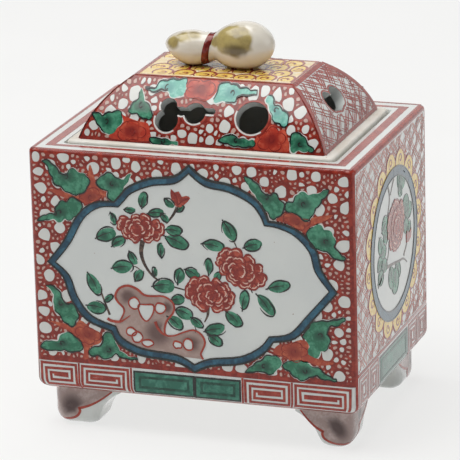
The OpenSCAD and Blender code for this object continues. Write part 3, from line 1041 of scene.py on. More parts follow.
def ruled(colour, surface, points, width, lift):
    """A line with square corners, such as a key fret."""
    for a, b in zip(points, points[1:]):
        size = math.hypot(b[0] - a[0], b[1] - a[1]) or 1
        du, dv = (b[0] - a[0]) / size * width / 2, (b[1] - a[1]) / size * width / 2
        corners = [(a[0] - du - dv, a[1] - dv + du), (a[0] - du + dv, a[1] - dv - du)]
        corners += [(b[0] + du + dv, b[1] + dv - du), (b[0] + du - dv, b[1] + dv + du)]
        lay(colour, surface, corners, lift)


def block(colour, surface, u0, v0, u1, v1, lift):
    lay(colour, surface, [(u0, v0), (u1, v0), (u1, v1), (u0, v1)], lift)


def band(colour, surface, outer, inner, lift):
    """A closed band between two outlines with as many points."""
    for (a, b), (c, d) in zip(pairs(outer), pairs(inner)):
        lay(colour, surface, [a, c, d, b], lift)


def soft_dab(colour, surface, middle, half_u, half_v, lift, inside, tilt=0):
    """A dark dab that fades into the coat around it and stays inside an outline. tilt is in degrees."""
    if not holds(inside, *middle):
        return
    round_edge = [turned(*middle, math.radians(tilt), a, b) for a, b in oval(0, 0, half_u, half_v, 16)]
    edge = [kept_in(inside, middle, place) for place in round_edge]
    lift += next(HAIRS)
    for a, b in pairs(edge):
        keep(colour, surface, [middle, a, b], lift, [1, 0, 0])


def curl(colour, surface, middle, radius, start, turns, width, lift):
    """A line that winds inwards, as on a scroll."""
    count = max(8, int(abs(turns) * 14))
    line = []
    for step in range(count + 1):
        share = step / count
        reach = radius * (1 - 0.78 * share)
        line.append(on_oval(*middle, reach, reach, math.radians(start) + 2 * math.pi * turns * share))
    ribbon(colour, surface, line, (width * 0.6, width, width * 1.25), lift)


# %% [markdown]
# ## Firing a colour
# When all strokes of one colour are drawn, they become one thin piece: the flat outlines are folded where
# the surface bends, wrapped on to it and given a little depth, so that their feet sink into the glaze.

# %% Turn strokes into a piece
SUNK = 0.03


def fire(name, colour, body, finish=None):
    """Makes a piece of all strokes of a colour, in that colour's finish or in another one."""
    whole = bmesh.new()
    highest = 0
    for surface, shapes in PAINT.pop(colour).items():
        flat = bmesh.new()
        mark = flat.verts.layers.float.new("pool")
        for outline, lift, pools in shapes:
            highest = max(highest, lift)
            corners = [flat.verts.new((u, v, lift)) for u, v in outline]
            for corner, pool in zip(corners, pools):
                corner[mark] = pool
            flat.faces.new(corners)
        bmesh.ops.remove_doubles(flat, verts=flat.verts[:], dist=0.001)
        bmesh.ops.triangulate(flat, faces=[face for face in flat.faces if len(face.verts) > 4])
        folds = [((u, 0, 0), (1, 0, 0)) for u in surface.u_folds]
        folds += [((0, v, 0), (0, 1, 0)) for v in surface.v_folds]
        for place, normal in folds:
            parts = flat.verts[:] + flat.edges[:] + flat.faces[:]
            bmesh.ops.bisect_plane(flat, geom=parts, dist=0.0005, plane_co=place, plane_no=normal)
        for vert in flat.verts:
            vert.co = surface.point(*vert.co)
        sheet = bpy.data.meshes.new("sheet")
        flat.to_mesh(sheet)
        flat.free()
        whole.from_mesh(sheet)
        bpy.data.meshes.remove(sheet)
    mesh = bpy.data.meshes.new(name)
    whole.to_mesh(mesh)
    whole.free()
    piece = bpy.data.objects.new(name, mesh)
    bpy.context.scene.collection.objects.link(piece)
    pick(piece)
    bpy.ops.object.modifier_add(type="SOLIDIFY")
    modifier = piece.modifiers[-1]
    modifier.thickness = (highest + SUNK) * MM
    modifier.offset = -1
    bpy.ops.object.modifier_apply(modifier=modifier.name)
    bpy.ops.object.shade_smooth_by_angle(angle=math.radians(30))
    set_finish(piece, FINISHES[finish or colour], body)
    print(name, "faces:", len(piece.data.polygons))


# %% [markdown]
# ## Leaves, petals and bubbles
# The same few motifs come back all over the burner. A leaf is a green fill with a dark outline that
# misses it by a hair. A peony is rings of small petals, each with a deep red edge and a pale line. The
# bubble ground is a net of thin red lines round white cells: large bubbles first, then smaller ones in
# the gaps.

# %% Leaves
L_GROUND, L_FIELD, L_FILL, L_BAND, L_LINE = 0.05, 0.09, 0.13, 0.19, 0.26
LEAF_SHARES = (-1, -0.75, -0.3, 0.2, 0.62, 0.9, 1)
LEAF_SWELL = (0.0, 0.55, 0.95, 1.0, 0.8, 0.45, 0.0)
LEAF_PEN = (0.12, 0.36, 0.52, 0.28, 0.46, 0.12)
BORDER_PEN = (0.15, 0.42, 0.26, 0.5, 0.2, 0.44, 0.3, 0.15)
HALO_PEN = (0.2, 0.8, 0.2, 0.3, 0.75, 0.2)


def wobble(rng, outline, amount):
    return [(u + rng.uniform(-amount, amount), v + rng.uniform(-amount, amount)) for u, v in outline]


def broken(rng, line, least, most):
    """A closed line that starts anywhere and stops short of its start."""
    first = rng.randrange(len(line))
    return (line[first:] + line[:first])[:int(len(line) * rng.uniform(least, most))]


def leaf(surface, u, v, length, angle, rng, fat, pen=1):
    """A small leaf about its middle, its tip in the direction of angle."""
    turn = math.radians(angle)
    half = length / 2
    edge = [(half * share, half * width * fat) for share, width in zip(LEAF_SHARES, LEAF_SWELL)]
    edge += [(a, -b) for a, b in edge[-2:0:-1]]
    places = [turned(u, v, turn, a, b) for a, b in edge]
    miss = (rng.uniform(-0.35, 0.35), rng.uniform(-0.35, 0.35))
    fill = smooth(wobble(rng, [(p[0] + miss[0], p[1] + miss[1]) for p in places], 0.1), True, 2)
    lay("leaf_green", surface, fill, L_FILL)
    dark = turned(u, v, turn, -half * 0.3, 0)
    soft_dab("leaf_green", surface, dark, half * 0.6, half * 0.6, L_FILL + 0.03, fill)
    line = broken(rng, smooth(wobble(rng, places, 0.1), True, 3), 0.72, 0.95)
    ribbon("dark_line", surface, line, [pen * width for width in LEAF_PEN], L_FILL + 0.05)
    rib = [turned(u, v, turn, half * a, b) for a, b in ((-1.2, 0), (-0.3, 0.25), (0.5, 0))]
    stroke("dark_line", surface, rib, (0.4 * pen, 0.26 * pen, 0.12), L_FILL + 0.05)


def scalloped(outline, reach, pitch):
    """Small lobes along an outline that runs clockwise from the tip of a leaf."""
    steps = [math.dist(a, b) for a, b in pairs(outline)]
    lobes = []
    for index, (u, v) in enumerate(outline):
        before, after = outline[index - 1], outline[(index + 1) % len(outline)]
        gone = sum(steps[:index])
        near_tip = min(gone, sum(steps) - gone)
        push = reach * abs(math.sin(math.pi * gone / pitch)) * min(near_tip / 4, 1)
        push /= math.dist(before, after) or 1
        lobes.append((u - (after[1] - before[1]) * push, v + (after[0] - before[0]) * push))
    return lobes


def lobed_leaf(surface, outline, rng, green):
    """A large leaf of the border on a white halo, with a dark dab and a curled vein."""
    fill = scalloped(smooth(outline, True, 4), 0.42, 3.1)
    ribbon("bubble_white", surface, fill, HALO_PEN, L_FIELD + 0.02, True)
    lay(green, surface, fill, L_FILL)
    ribbon("dark_line", surface, broken(rng, wobble(rng, fill, 0.04), 0.7, 0.95), BORDER_PEN, L_LINE)
    middle = middle_of(outline)
    soft_dab(green, surface, middle, 3.2, 2.2, L_FILL + 0.03, fill)
    start, turns = rng.uniform(0, 360), rng.choice((0.7, -0.7))
    curl("dark_line", surface, middle, 0.8, start, turns, 0.28, L_LINE)


# %% Peonies
PETAL = (
    (-0.9, -0.6), (0, -1), (0.62, -0.86), (0.95, -0.36), (0.88, 0.1), (1, 0.5), (0.5, 0.95), (-0.8, 0.7),
)
PEONY_ROWS = ((0.76, 10, 0.0, 0.28), (0.46, 7, 0.03, 0.27), (0.18, 4, 0.06, 0.25))
L_HEART, L_PETAL = L_FILL + 0.075, L_FILL + 0.095


def petal(surface, u, v, reach, width, turn, lift, rng):
    """A petal that points away from the flower's middle, with a deep red edge and a pale line inside it."""
    edge = []
    for a, b in PETAL:
        a, b = a * reach + rng.uniform(-0.12, 0.12), b * width + rng.uniform(-0.12, 0.12)
        edge.append(turned(u, v, turn, a, b))
    whole = smooth(edge, True, 2)
    lay("petal_red", surface, whole, lift)
    ribbon("deep_red", surface, whole, (0.16, 0.34, 0.22, 0.32, 0.16), lift + 0.02, True)
    rim = [drawn_in(place, (u, v), 0.7, 0.7) for place in edge[1:7]]
    stroke("petal_pink", surface, rim, (0.06, 0.42, 0.24, 0.44, 0.06), lift + 0.02, 2)


def peony(surface, u, v, width, height, tilt, rng):
    """Rows of petals round a middle. tilt turns the whole flower, in degrees."""
    mean = (width + height) / 4
    tilt = math.radians(tilt)
    slant = rng.choice((-1, 1))
    heart = [turned(u, v, tilt, a, b) for a, b in oval(0, 0, width * 0.42, height * 0.4, 24)]
    lay("petal_red", surface, heart, L_HEART)
    for row, (share, count, extra, size) in enumerate(PEONY_ROWS):
        middle = (u + slant * width * 0.04 * row, v - height * 0.03 * row)
        for index in range(count):
            turn = 2 * math.pi * (index + 0.5 * rng.random()) / count + count
            a, b = on_oval(0, 0, width / 2 * share, height / 2 * share, turn)
            reach = mean * size * rng.uniform(0.8, 1.25)
            way = math.atan2(b, a) + tilt
            petal(surface, *turned(*middle, tilt, a, b), reach, reach * 1.15, way, L_PETAL + extra, rng)


# %% Bubble ground
CELL = 6
LARGE_BUBBLE = 0.9
PINK_BUBBLE = 0.57
CUT = 0.28


def pebbles(rng, low, high, allowed, sizes):
    """Round places for bubbles, the large ones first, each with the list of its neighbours. A size is the
    least and the greatest radius, the number of tries and the gap to keep."""
    cells = {}

    def around(u, v):
        home = (int(u // CELL), int(v // CELL))
        near = [(home[0] + a, home[1] + b) for a in (-1, 0, 1) for b in (-1, 0, 1)]
        return [place for cell in near for place in cells.get(cell, ())]

    found = []
    for small, large, tries, gap in sizes:
        for _ in range(tries):
            radius = rng.uniform(small, large)
            u, v = rng.uniform(low[0], high[0]), rng.uniform(low[1], high[1])
            if not allowed(u, v, radius):
                continue
            if all((u - p[0]) ** 2 + (v - p[1]) ** 2 > (radius + p[2] + gap) ** 2 for p in around(u, v)):
                cells.setdefault((int(u // CELL), int(v // CELL)), []).append((u, v, radius))
                found.append((u, v, radius))
    return [(place, [p for p in around(*place[:2]) if p != place]) for place in found]


def clipped(outline, u, v, du, dv, reach):
    """Cuts off what lies further than reach from a place in one direction."""
    kept = []
    for a, b in pairs(outline):
        over_a = (a[0] - u) * du + (a[1] - v) * dv - reach
        over_b = (b[0] - u) * du + (b[1] - v) * dv - reach
        if over_a <= 0:
            kept.append(a)
        if over_a * over_b < 0:
            share = over_a / (over_a - over_b)
            kept.append((a[0] + (b[0] - a[0]) * share, a[1] + (b[1] - a[1]) * share))
    return kept


def corners_cut(outline):
    """The outline with its corners taken off, once on a short side and at both ends of a long one."""
    soft = []
    for a, b in pairs(outline):
        soft.append((a[0] * (1 - CUT) + b[0] * CUT, a[1] * (1 - CUT) + b[1] * CUT))
        if math.hypot(a[0] - b[0], a[1] - b[1]) > 0.5:
            soft.append((a[0] * CUT + b[0] * (1 - CUT), a[1] * CUT + b[1] * (1 - CUT)))
    return soft


def bubble(surface, place, near, gap, rng, bounds):
    """A white bubble, pressed flat against its neighbours and the border. Small ones are a little pink."""
    u, v, radius = place
    large = radius > LARGE_BUBBLE
    edge = oval(u, v, radius * 1.22 + 0.25, radius * 1.02 + 0.25, 12 if large else 8)
    edge = wobble(rng, edge, radius * 0.06)
    for a, b, other in near:
        far = math.hypot(a - u, b - v)
        reach = (far * far + radius ** 2 - other ** 2) / (2 * far) - gap / 2
        edge = clipped(edge, u, v, (a - u) / far, (b - v) / far, reach)
    for du, dv, limit in bounds:
        edge = clipped(edge, 0, 0, du, dv, limit)
    if len(edge) < 3:
        return
    for _ in range(2 if large else 1):
        edge = corners_cut(edge)
    pink = 1 if radius < PINK_BUBBLE else 0
    keep("bubble_white", surface, edge, L_FIELD - 0.015 + next(HAIRS), [pink] * len(edge))


WALL_BUBBLES = (
    (1.45, 2.0, 1600, 0.75), (0.5, 0.85, 1500, 0.36), (0.32, 0.5, 9000, 0.22), (0.2, 0.28, 5000, 0.18),
)
LID_BUBBLES = ((1.2, 1.9, 2500, 0.3), (0.55, 1.0, 6000, 0.24), (0.3, 0.45, 5000, 0.16))
WALL_GAP, LID_GAP = 0.7, 0.6
print("motifs ready")

# %% [markdown]
# ## The lobed panel of the long walls
# Each long wall has a white panel with eight lobes, edged by a blue band between two dark lines. The
# lobes meet in points, so each lobe is its own smooth line. The inner edge is the same outline drawn in a
# little.

# %% Panel outline
LOBES = (
    ((40.9, 33.2), (36.9, 38.8), (35.3, 44.6), (31, 49.2), (26, 51.2), (22.2, 51.6)),
    ((22.2, 51.6), (21.2, 54.2), (18.4, 57.8), (12, 60.8), (5, 62), (0.2, 65.5)),
    ((0.2, 65.5), (-4, 62.2), (-11, 61), (-17, 58.4), (-19.5, 55.8), (-21.3, 53.8)),
    ((-21.3, 53.8), (-27, 53.2), (-32, 49.4), (-36.3, 41.7), (-41.2, 35.4)),
    ((-41.2, 35.4), (-37, 31.5), (-34.8, 25.2), (-30.5, 19.6), (-23.4, 17)),
    ((-23.4, 17), (-21.5, 13.6), (-15.4, 10.8), (-5, 9.8), (0.2, 7.3)),
    ((0.2, 7.3), (5, 9.5), (14, 11), (20, 14.4), (22.8, 17.9)),
    ((22.8, 17.9), (29, 19.5), (34.3, 25.4), (40.9, 33.2)),
)
PANEL_MIDDLE = (0, 35.8)
BAND_IN = (0.948, 0.926)
panel_edge = []
for lobe in LOBES:
    panel_edge += smooth(lobe, False, 4)[:-1]


def lobed_panel(surface):
    inner = [drawn_in(place, PANEL_MIDDLE, *BAND_IN) for place in panel_edge]
    lay("white_field", surface, panel_edge, L_FIELD)
    band("band_blue", surface, panel_edge, inner, L_BAND)
    ribbon("dark_line", surface, panel_edge, (0.45, 0.7, 0.42, 0.62, 0.45), L_LINE, True)
    ribbon("dark_line", surface, inner, (0.3, 0.5, 0.28, 0.52, 0.3), L_LINE, True)


print("panel points:", len(panel_edge))

# %% [markdown]
# ## Peonies by a pierced rock
# Inside the panel a peony grows past a rock with holes, a subject that decorators have used for
# centuries. Stems come first, then leaves and flowers, and the rock sits at the lower left.

# %% Flowers and leaves of the panel
PANEL_PEONIES = ((-14, 47, 14, 6.9, -4), (14.2, 37.7, 15.4, 8.6, -24), (5.2, 30, 14, 9, -8))
PANEL_LEAVES = (
    (-13, 55, 4.5, 80), (-17, 51.8, 3, 0), (-9.5, 51.6, 4.5, 10), (-7, 50.5, 3, -40), (-22, 49, 3.4, -70),
    (-5.5, 54.8, 3.2, -35), (-2.5, 53.2, 2.6, 40), (-24, 44.5, 6, 25), (-20.5, 42.5, 4.5, 35),
    (-4.5, 47, 4.5, 0), (-3.8, 44, 6.8, -20), (-8.3, 41.2, 4, 90), (-16.5, 38.3, 4, -60),
    (-19.5, 35.5, 6, 10), (-15, 33.7, 4, 60), (-10.5, 35, 2.5, 90), (-8, 31.3, 6, 10),
    (-3.5, 34.3, 4.5, 80), (0.3, 35.5, 4.2, -20), (5, 37.7, 4.5, 90), (7.5, 35, 3, 70),
    (6.5, 43.6, 6, -5), (11, 48, 6, -60), (17.6, 44.6, 5, 20), (24.7, 33.6, 6.5, 15), (14.8, 29, 5.5, 80),
    (20.8, 28, 7, -50), (11.8, 23.5, 5.5, -40), (-4, 27.6, 4, 15), (-2.3, 24, 5, -15), (-5, 21, 5, -35),
    (1.3, 21.5, 4, -35), (6.5, 20, 6, 15), (6.3, 17, 4.5, -30), (-28, 30, 6.5, -60), (-24, 26.3, 3, 40),
    (-27.5, 23.5, 5.5, -5),
)
PANEL_STEMS = (
    (((-13.5, 43.6), (-14.1, 40), (-13, 36.4), (-10.6, 33.4), (-7, 31.6), (-2, 30.5)),
     (1.5, 0.9, 0.5, 0.4)),
    (((4.4, 26.4), (4.4, 24), (3.4, 21.8)), (1.3, 0.7, 0.3)),
    (((-3.4, 53.6), (-4.6, 51.4), (-6.6, 48.8)), (0.9, 0.7, 0.4)),
    (((-27, 31), (-25.6, 26.5), (-23.8, 21.6)), (0.6, 0.5, 0.7)),
    (((-20, 35.6), (-16, 36), (-13.4, 34)), (0.3, 0.3, 0.3)),
    (((11.5, 46.4), (12.9, 44.2), (13.2, 42)), (0.5, 0.3, 0.2)),
    (((17.2, 31.2), (16.8, 32.4), (16.4, 33.4)), (0.3, 0.4, 0.4)),
    (((0.5, 20.6), (0.9, 19.4), (0.6, 18.6)), (0.3, 0.3, 0.2)),
)
PANEL_BUD = (
    (-5, 58.6), (-5.1, 56.4), (-4.2, 54.4), (-3, 53.6), (-1.4, 54.4), (0.4, 56.4), (-0.8, 57), (-2, 56.7),
    (-2.8, 58.1), (-4, 57.7),
)
BUD_LINES = (((-4.8, 58), (-3.4, 56.2), (-3.3, 54.2)), ((-0.2, 56.4), (-1.9, 55.4), (-3.2, 54.2)))


def panel_flowers(surface, rng):
    for points, widths in PANEL_STEMS:
        stroke("stem_brown", surface, points, widths, L_FILL - 0.015)
    for u, v, length, angle in PANEL_LEAVES:
        leaf(surface, u, v, length, angle, rng, rng.uniform(0.48, 0.68))
    for flower in PANEL_PEONIES:
        peony(surface, *flower, rng)
    lay("petal_red", surface, smooth(PANEL_BUD, True, 2), L_FILL + 0.03)
    for points in BUD_LINES:
        stroke("deep_red", surface, points, (0.2, 0.3, 0.3), L_LINE)


# %% Pierced rock
ROCK_EDGE = (
    (-20.9, 20.2), (-19.7, 22.4), (-19.8, 24), (-21.3, 25.5), (-22, 27.2), (-20.8, 29.4), (-18.2, 30.4),
    (-15.6, 29.6), (-13.6, 28.1), (-11, 28), (-8.2, 28.2), (-5.8, 27), (-5.1, 25.2), (-5.7, 23.4),
    (-7.4, 21.2), (-8.1, 18.6), (-7.6, 17.1), (-5.2, 17.3), (-2.8, 18.4), (0.2, 19.3), (2.4, 18.2),
    (3.4, 16), (2.5, 13.6), (2.1, 12.6), (2.7, 11.2),
)
ROCK_FOOT = ((-3, 11.4), (-10, 12), (-17, 13.2), (-20.6, 15.4), (-22.4, 18.2), (-22.6, 19.8))
ROCK_HOLES = (
    (-16.6, 25.5, 1.5, 1.7), (-9.1, 24.7, 1.5, 1.5), (-17.7, 17.3, 1.5, 1.1), (-16, 15.9, 1.5, 1.5),
    (-13.1, 14.5, 1.7, 1.0), (-4.5, 14.7, 1.3, 1.0), (-1.5, 15, 1.4, 1.6),
)
ROCK_SHIELD = (
    (-15.4, 25.2), (-13.4, 25.4), (-11.2, 25.5), (-11, 24), (-12, 21.8), (-13.3, 20.7), (-14.6, 21.8),
    (-15.3, 23.6),
)
ROCK_CURLS = (
    ((-24.5, 20.5), (-23.2, 19.9), (-21, 19.9), (-19.6, 20.6), (-17.9, 21.9)),
    ((-10.7, 20.8), (-10, 19), (-8.6, 17.5), (-7.2, 17)),
)
ROCK_POOLS = ((-18.4, 27.4, 4.4, 3.2), (-6.9, 25.2, 2.4, 2.6), (-10, 17.6, 5.4, 5.2), (-0.6, 15.4, 4, 3.2))


def pierced_rock(surface, rng):
    edge = smooth(ROCK_EDGE, False, 3)
    whole = edge + list(ROCK_FOOT)
    lay("rock_purple", surface, whole, L_FILL - 0.02)
    for u, v, half_u, half_v in ROCK_POOLS:
        soft_dab("rock_purple", surface, (u, v), half_u, half_v, L_FILL, whole)
    ribbon("rock_red", surface, edge, (0.4, 0.6, 0.66, 0.45, 0.6, 0.4, 0.55, 0.45), L_LINE)
    for points in ROCK_CURLS:
        stroke("rock_red", surface, points, (0.8, 0.65, 0.2), L_LINE)
    holes = [wobble(rng, oval(*hole, 9), 0.14) for hole in ROCK_HOLES] + [list(ROCK_SHIELD)]
    for hole in holes:
        lay("white_field", surface, smooth(hole, True, 2), L_FILL + 0.03)
        ribbon("rock_red", surface, smooth(hole, True, 3), (0.32, 0.5, 0.36, 0.46, 0.34), L_LINE, True)


print("panel leaves:", len(PANEL_LEAVES), "rock holes:", len(ROCK_HOLES))

# %% [markdown]
# ## The bubble border of the long walls
# Outside the panel the wall is iron red, with white bubbles packed close. A coral flower with three lobed
# leaves sits in each corner, and its arms run out into the red.

# %% Corner flowers
BORDER_LEAVES = (
    ((-41.7, 63.8), (-40.1, 64), (-38.2, 62.4), (-36.4, 60.4), (-35.2, 60.2), (-33.6, 61.7),
     (-32.2, 61.9), (-30.9, 60.8), (-29.6, 60.8), (-28.5, 59.2), (-29.2, 57.2), (-31.4, 55.3),
     (-34.6, 55.7), (-36, 56.9), (-38, 57.7), (-39.1, 60.2), (-40.4, 62.9)),
    ((-26.2, 59.2), (-24.8, 60.5), (-23.3, 61.5), (-21.8, 61.4), (-20, 60.1), (-18.4, 60.2),
     (-16.4, 61.8), (-17.9, 59.2), (-20.2, 55.6), (-21.6, 54), (-22.7, 54.8), (-23, 56.8), (-25.6, 57.8)),
    ((-43.7, 46.9), (-42.2, 48.2), (-40, 48.8), (-38.2, 48.8), (-38, 51), (-36.6, 52.6), (-35.3, 52.5),
     (-33.4, 53.8), (-31.5, 53.1), (-30.9, 51), (-33.8, 48.2), (-35.8, 48), (-37.6, 47.1), (-39.4, 47.9),
     (-41.4, 47.2)),
    ((15.7, 63.5), (18.4, 62.4), (20.2, 60.2), (21.4, 58.8), (23, 58.9), (24.2, 59.3), (25.3, 57.8),
     (26.7, 56.1), (25.4, 53.8), (23.6, 52.6), (22.2, 54.2), (20.1, 57.1), (17.4, 60.6)),
    ((26.8, 55.6), (27.6, 57.2), (29.6, 57.6), (30.2, 59.2), (31.8, 60.2), (33.6, 59.7), (36, 60.1),
     (39.1, 61.5), (37.2, 58.8), (34.8, 55.4), (33.4, 53), (31.6, 53.2), (30.4, 54.5), (28, 54.7)),
    ((32.7, 49), (34.2, 50.7), (36.3, 51.5), (37.6, 50.5), (39.4, 49.8), (40.4, 47.9), (40.3, 46),
     (41.4, 44.4), (43.2, 43.1), (41, 42.7), (38.4, 44.6), (34.6, 45.5), (33.5, 47.2)),
    ((-42.1, 28.4), (-40.2, 28.4), (-38.5, 27), (-37.2, 24.1), (-36.3, 23.4), (-34.6, 23.6),
     (-33.2, 20.6), (-34.7, 17.7), (-36.6, 18.3), (-38.4, 20.6), (-39.8, 22.4), (-39.7, 25.4),
     (-40.6, 27.4)),
    ((-44.4, 10.8), (-42.6, 12.4), (-39.7, 12.3), (-38, 14.4), (-36.5, 15.3), (-33.9, 14), (-32.1, 11.6),
     (-34.6, 10.2), (-37.4, 10.4), (-42.6, 10)),
    ((-30.3, 10.6), (-28.6, 11.9), (-26.4, 12.4), (-25.8, 14.8), (-24.6, 16.6), (-23.2, 15.2),
     (-21.9, 12.1), (-19, 9.9), (-16.1, 9.6), (-20.4, 9.7), (-22.4, 10.7), (-25.3, 8.9), (-27.3, 9.8),
     (-29.5, 9.4)),
    ((31, 20.2), (32.6, 22.3), (34.4, 24.4), (37.1, 24.8), (40, 25.3), (42.8, 26.1), (41.2, 24.5),
     (38.6, 23.8), (37.8, 22), (38.5, 19.4), (37.4, 17.2), (36, 16.4), (34.5, 14.6), (32.7, 15.8),
     (33, 17.9), (32, 19.3)),
    ((14.6, 8.6), (16.8, 10.6), (19.8, 12.6), (21.5, 13.9), (24.8, 12.9), (23.6, 10.3), (21.3, 8.7),
     (19.8, 9.5), (17.4, 9.1)),
    ((25.3, 11.8), (27, 12.7), (30, 12.9), (32, 12.6), (33, 11.8), (35.2, 11.4), (37.6, 9.6), (40.3, 8.6),
     (36, 9), (34.2, 9.6), (31, 8.1), (29.2, 8.4), (27.6, 9.8), (25.7, 10.8)),
)
BORDER_FLOWERS = (
    ((-27.9, 63.8), (-26.9, 61), (-26.1, 57.9), (-24.2, 57.2), (-22.9, 56), (-24.7, 54.6), (-29.4, 52),
     (-30.9, 53.1), (-35.5, 53.8), (-40.5, 56.1), (-34.8, 55.6), (-31, 55.2), (-28.9, 57.4), (-28.6, 61)),
    ((24, 52.3), (26, 53.9), (28.7, 54.7), (30.6, 54.2), (32.6, 52.6), (35.3, 53.9), (40.3, 54.7),
     (36, 51.9), (33.9, 50.9), (32.8, 49.2), (29, 50.6), (26, 51.8)),
    ((-34.8, 17.2), (-32.5, 19.3), (-29.6, 17.4), (-26.3, 15.8), (-26.8, 13.3), (-29.6, 12),
     (-30.6, 10.4), (-30.5, 8.5), (-31.9, 8.4), (-31.9, 11.6), (-34.4, 14.8), (-36.2, 16), (-41.4, 18.3),
     (-37, 17.9)),
    ((22.7, 15.4), (24.2, 17.2), (27.3, 17.9), (30.5, 19.2), (32.6, 18.5), (32.8, 16), (34.6, 14.4),
     (39.8, 13.3), (35.4, 12.3), (32.6, 12.9), (28.2, 12.8), (25.2, 14.1), (23.4, 14.5)),
)
FLOWER_HEARTS = ((-28, 54.6), (30, 52.4), (-30.4, 15.4), (28.6, 15.6))
FLOWER_PETALS = 5
BARE_RED = [(25.6, 57), (29, 57.6), (29, 62), (27, 65), (25.6, 62)]
LONG_EDGE, SHORT_EDGE = 45.57, 33.57
PAINT_TOP = PAINT_H - 0.002
BORDER_BOX = ((-44.5, 8.4), (44.5, 66))
WALL_BLOOM, LID_BLOOM = 2.2, 2.4


def petal_lines(surface, heart, size, rng, inside):
    """A dark heart, a swirl in it and bows for the petals round it."""
    soft_dab("coral", surface, heart, 1.5 * size, 1.1 * size, L_FILL, inside)
    start, turns = rng.uniform(0, 360), rng.choice((0.8, -0.8))
    curl("deep_red", surface, heart, 0.5 * size, start, turns, 0.3, L_FILL + 0.03)
    for number in range(FLOWER_PETALS):
        way = 360 / FLOWER_PETALS * number + rng.uniform(-15, 15)
        middle = on_oval(*heart, size, 0.7 * size, math.radians(way))
        swings = [math.radians(way - 110 + 44 * step) for step in range(6)]
        bow = [on_oval(*middle, 0.75 * size, 0.6 * size, swing) for swing in swings]
        bow = [kept_in(inside, heart, place) for place in bow]
        stroke("deep_red", surface, bow, (0.08, 0.3, 0.08), L_FILL + 0.03, 2)


def bubble_ground(surface, rng, low, high, allowed, sizes, gap, bounds, flowers, size):
    """White bubbles on a red ground, then coral flowers, each an outline with its heart."""
    places = pebbles(rng, low, high, allowed, sizes)
    for place, near in places:
        bubble(surface, place, near, gap, rng, bounds)
    for fill, heart in flowers:
        lay("coral", surface, fill, L_FILL - 0.02)
        petal_lines(surface, heart, size, rng, fill)
    print("bubbles:", len(places))


def bubble_border(surface, rng):
    block("iron_red", surface, -LONG_EDGE, 6.9, LONG_EDGE, PAINT_TOP, L_GROUND)
    solid = [panel_edge] + [smooth(outline, True, 2) for outline in BORDER_FLOWERS] + [BARE_RED]
    flowers = [(smooth(outline, True, 3), heart) for outline, heart in zip(BORDER_FLOWERS, FLOWER_HEARTS)]
    bounds = ((1, 0, 44.5), (-1, 0, 44.6), (0, 1, 66.3), (0, -1, -8.35))

    def allowed(u, v, _):
        return abs(u) <= 44.2 and 8.6 <= v <= 65.8 and not any(holds(outline, u, v) for outline in solid)

    bubble_ground(surface, rng, *BORDER_BOX, allowed, WALL_BUBBLES, WALL_GAP, bounds, flowers, WALL_BLOOM)
    for outline in BORDER_LEAVES:
        lobed_leaf(surface, outline, rng, "leaf_green")


# %% [markdown]
# ## Key fret along the foot of the walls
# A band of square spirals in red runs round the foot, with a green bar in the middle of each side.

# %% Key fret
FRET_LOW = 0.1
FRET_PITCH, FRET_PEN = 1.34, 0.74
BAR_LINES = (("dark_line", 0, 0, 0.08, 0.5), ("bar_dark", 1.7, 1.5, 0.1, 0.7))


def key_spiral(surface, u0, u1, v1, rng, flip):
    """A square spiral that winds inwards."""
    v0, inset = FRET_LOW, FRET_PITCH
    path = [(u0, v0), (u0, v1), (u1, v1), (u1, v0), (u0 + inset, v0)]
    while v1 - v0 - 2 * inset > -0.2 and u1 - u0 - 2 * inset > 1.5:
        path += [(u0 + inset, v1 - inset), (u1 - inset, v1 - inset)]
        if v1 - v0 - 2 * inset > 0.6:
            path += [(u1 - inset, v0 + inset), (u0 + inset + FRET_PITCH, v0 + inset)]
        inset += FRET_PITCH
    if flip:
        path = [(u0 + u1 - u, v) for u, v in path]
    ruled("line_red", surface, wobble(rng, path, 0.11), FRET_PEN, L_GROUND)


def fret_band(surface, units, bars, top, half, rng):
    """The line under the fret, its spirals between pairs of places, and the green bars."""
    block("line_red", surface, -half, -1.2, half, -0.65, L_GROUND)
    for number, (u0, u1) in enumerate(units):
        key_spiral(surface, u0, u1, top - 0.5, rng, number % 2)
    low, high = 0, top - 0.7
    for u0, u1 in bars:
        block("bar_green", surface, u0, low, u1, high, L_GROUND)
        for colour, in_u, in_v, loose, width in BAR_LINES:
            edge = [(u0 + in_u, low + in_v), (u1 - in_u, low + in_v)]
            edge += [(u1 - in_u, high - in_v), (u0 + in_u, high - in_v), edge[0]]
            ruled(colour, surface, wobble(rng, edge, loose), width, L_GROUND + 0.03)


# %% Paint the long walls
LONG_UNITS = ((-44.4, -34.3), (-32.6, -19.2), (14.4, 26.8), (28.7, 44.0))
LONG_BARS = ((-17.4, -0.2), (0.2, 13))
LONG_POSTS = (-33.5, -18.3, 13.7, 27.7)
LONG_FRET = 6.6
POST_HALF = 0.28


def long_wall(surface, seed):
    rng = random.Random(seed)
    bubble_border(surface, rng)
    lobed_panel(surface)
    panel_flowers(surface, rng)
    pierced_rock(surface, rng)
    fret_band(surface, LONG_UNITS, LONG_BARS, LONG_FRET, LONG_EDGE, rng)
    for u in LONG_POSTS:
        block("line_red", surface, u - POST_HALF, -0.8, u + POST_HALF, 6.8, L_GROUND)


long_wall(FRONT, 11)
long_wall(BACK, 23)

# %% [markdown]
# ## The short walls
# A round white medallion with a peony branch sits on a ground of fine red cross-hatching. A blue ring and
# a wreath of yellow scallops with red curls surround it.

# %% Cross-hatching
WALL_HATCH = (((30, -42), (3, 3, 4), 0.8, 4.2, 0.24), ((84,), (1, 2), 0.8, 5.4, 0.22))
LID_HATCH = (((32, -24), (3, 3, 4), 0.72, 3.4, 0.23), ((78,), (1, 2), 0.8, 5.0, 0.22))


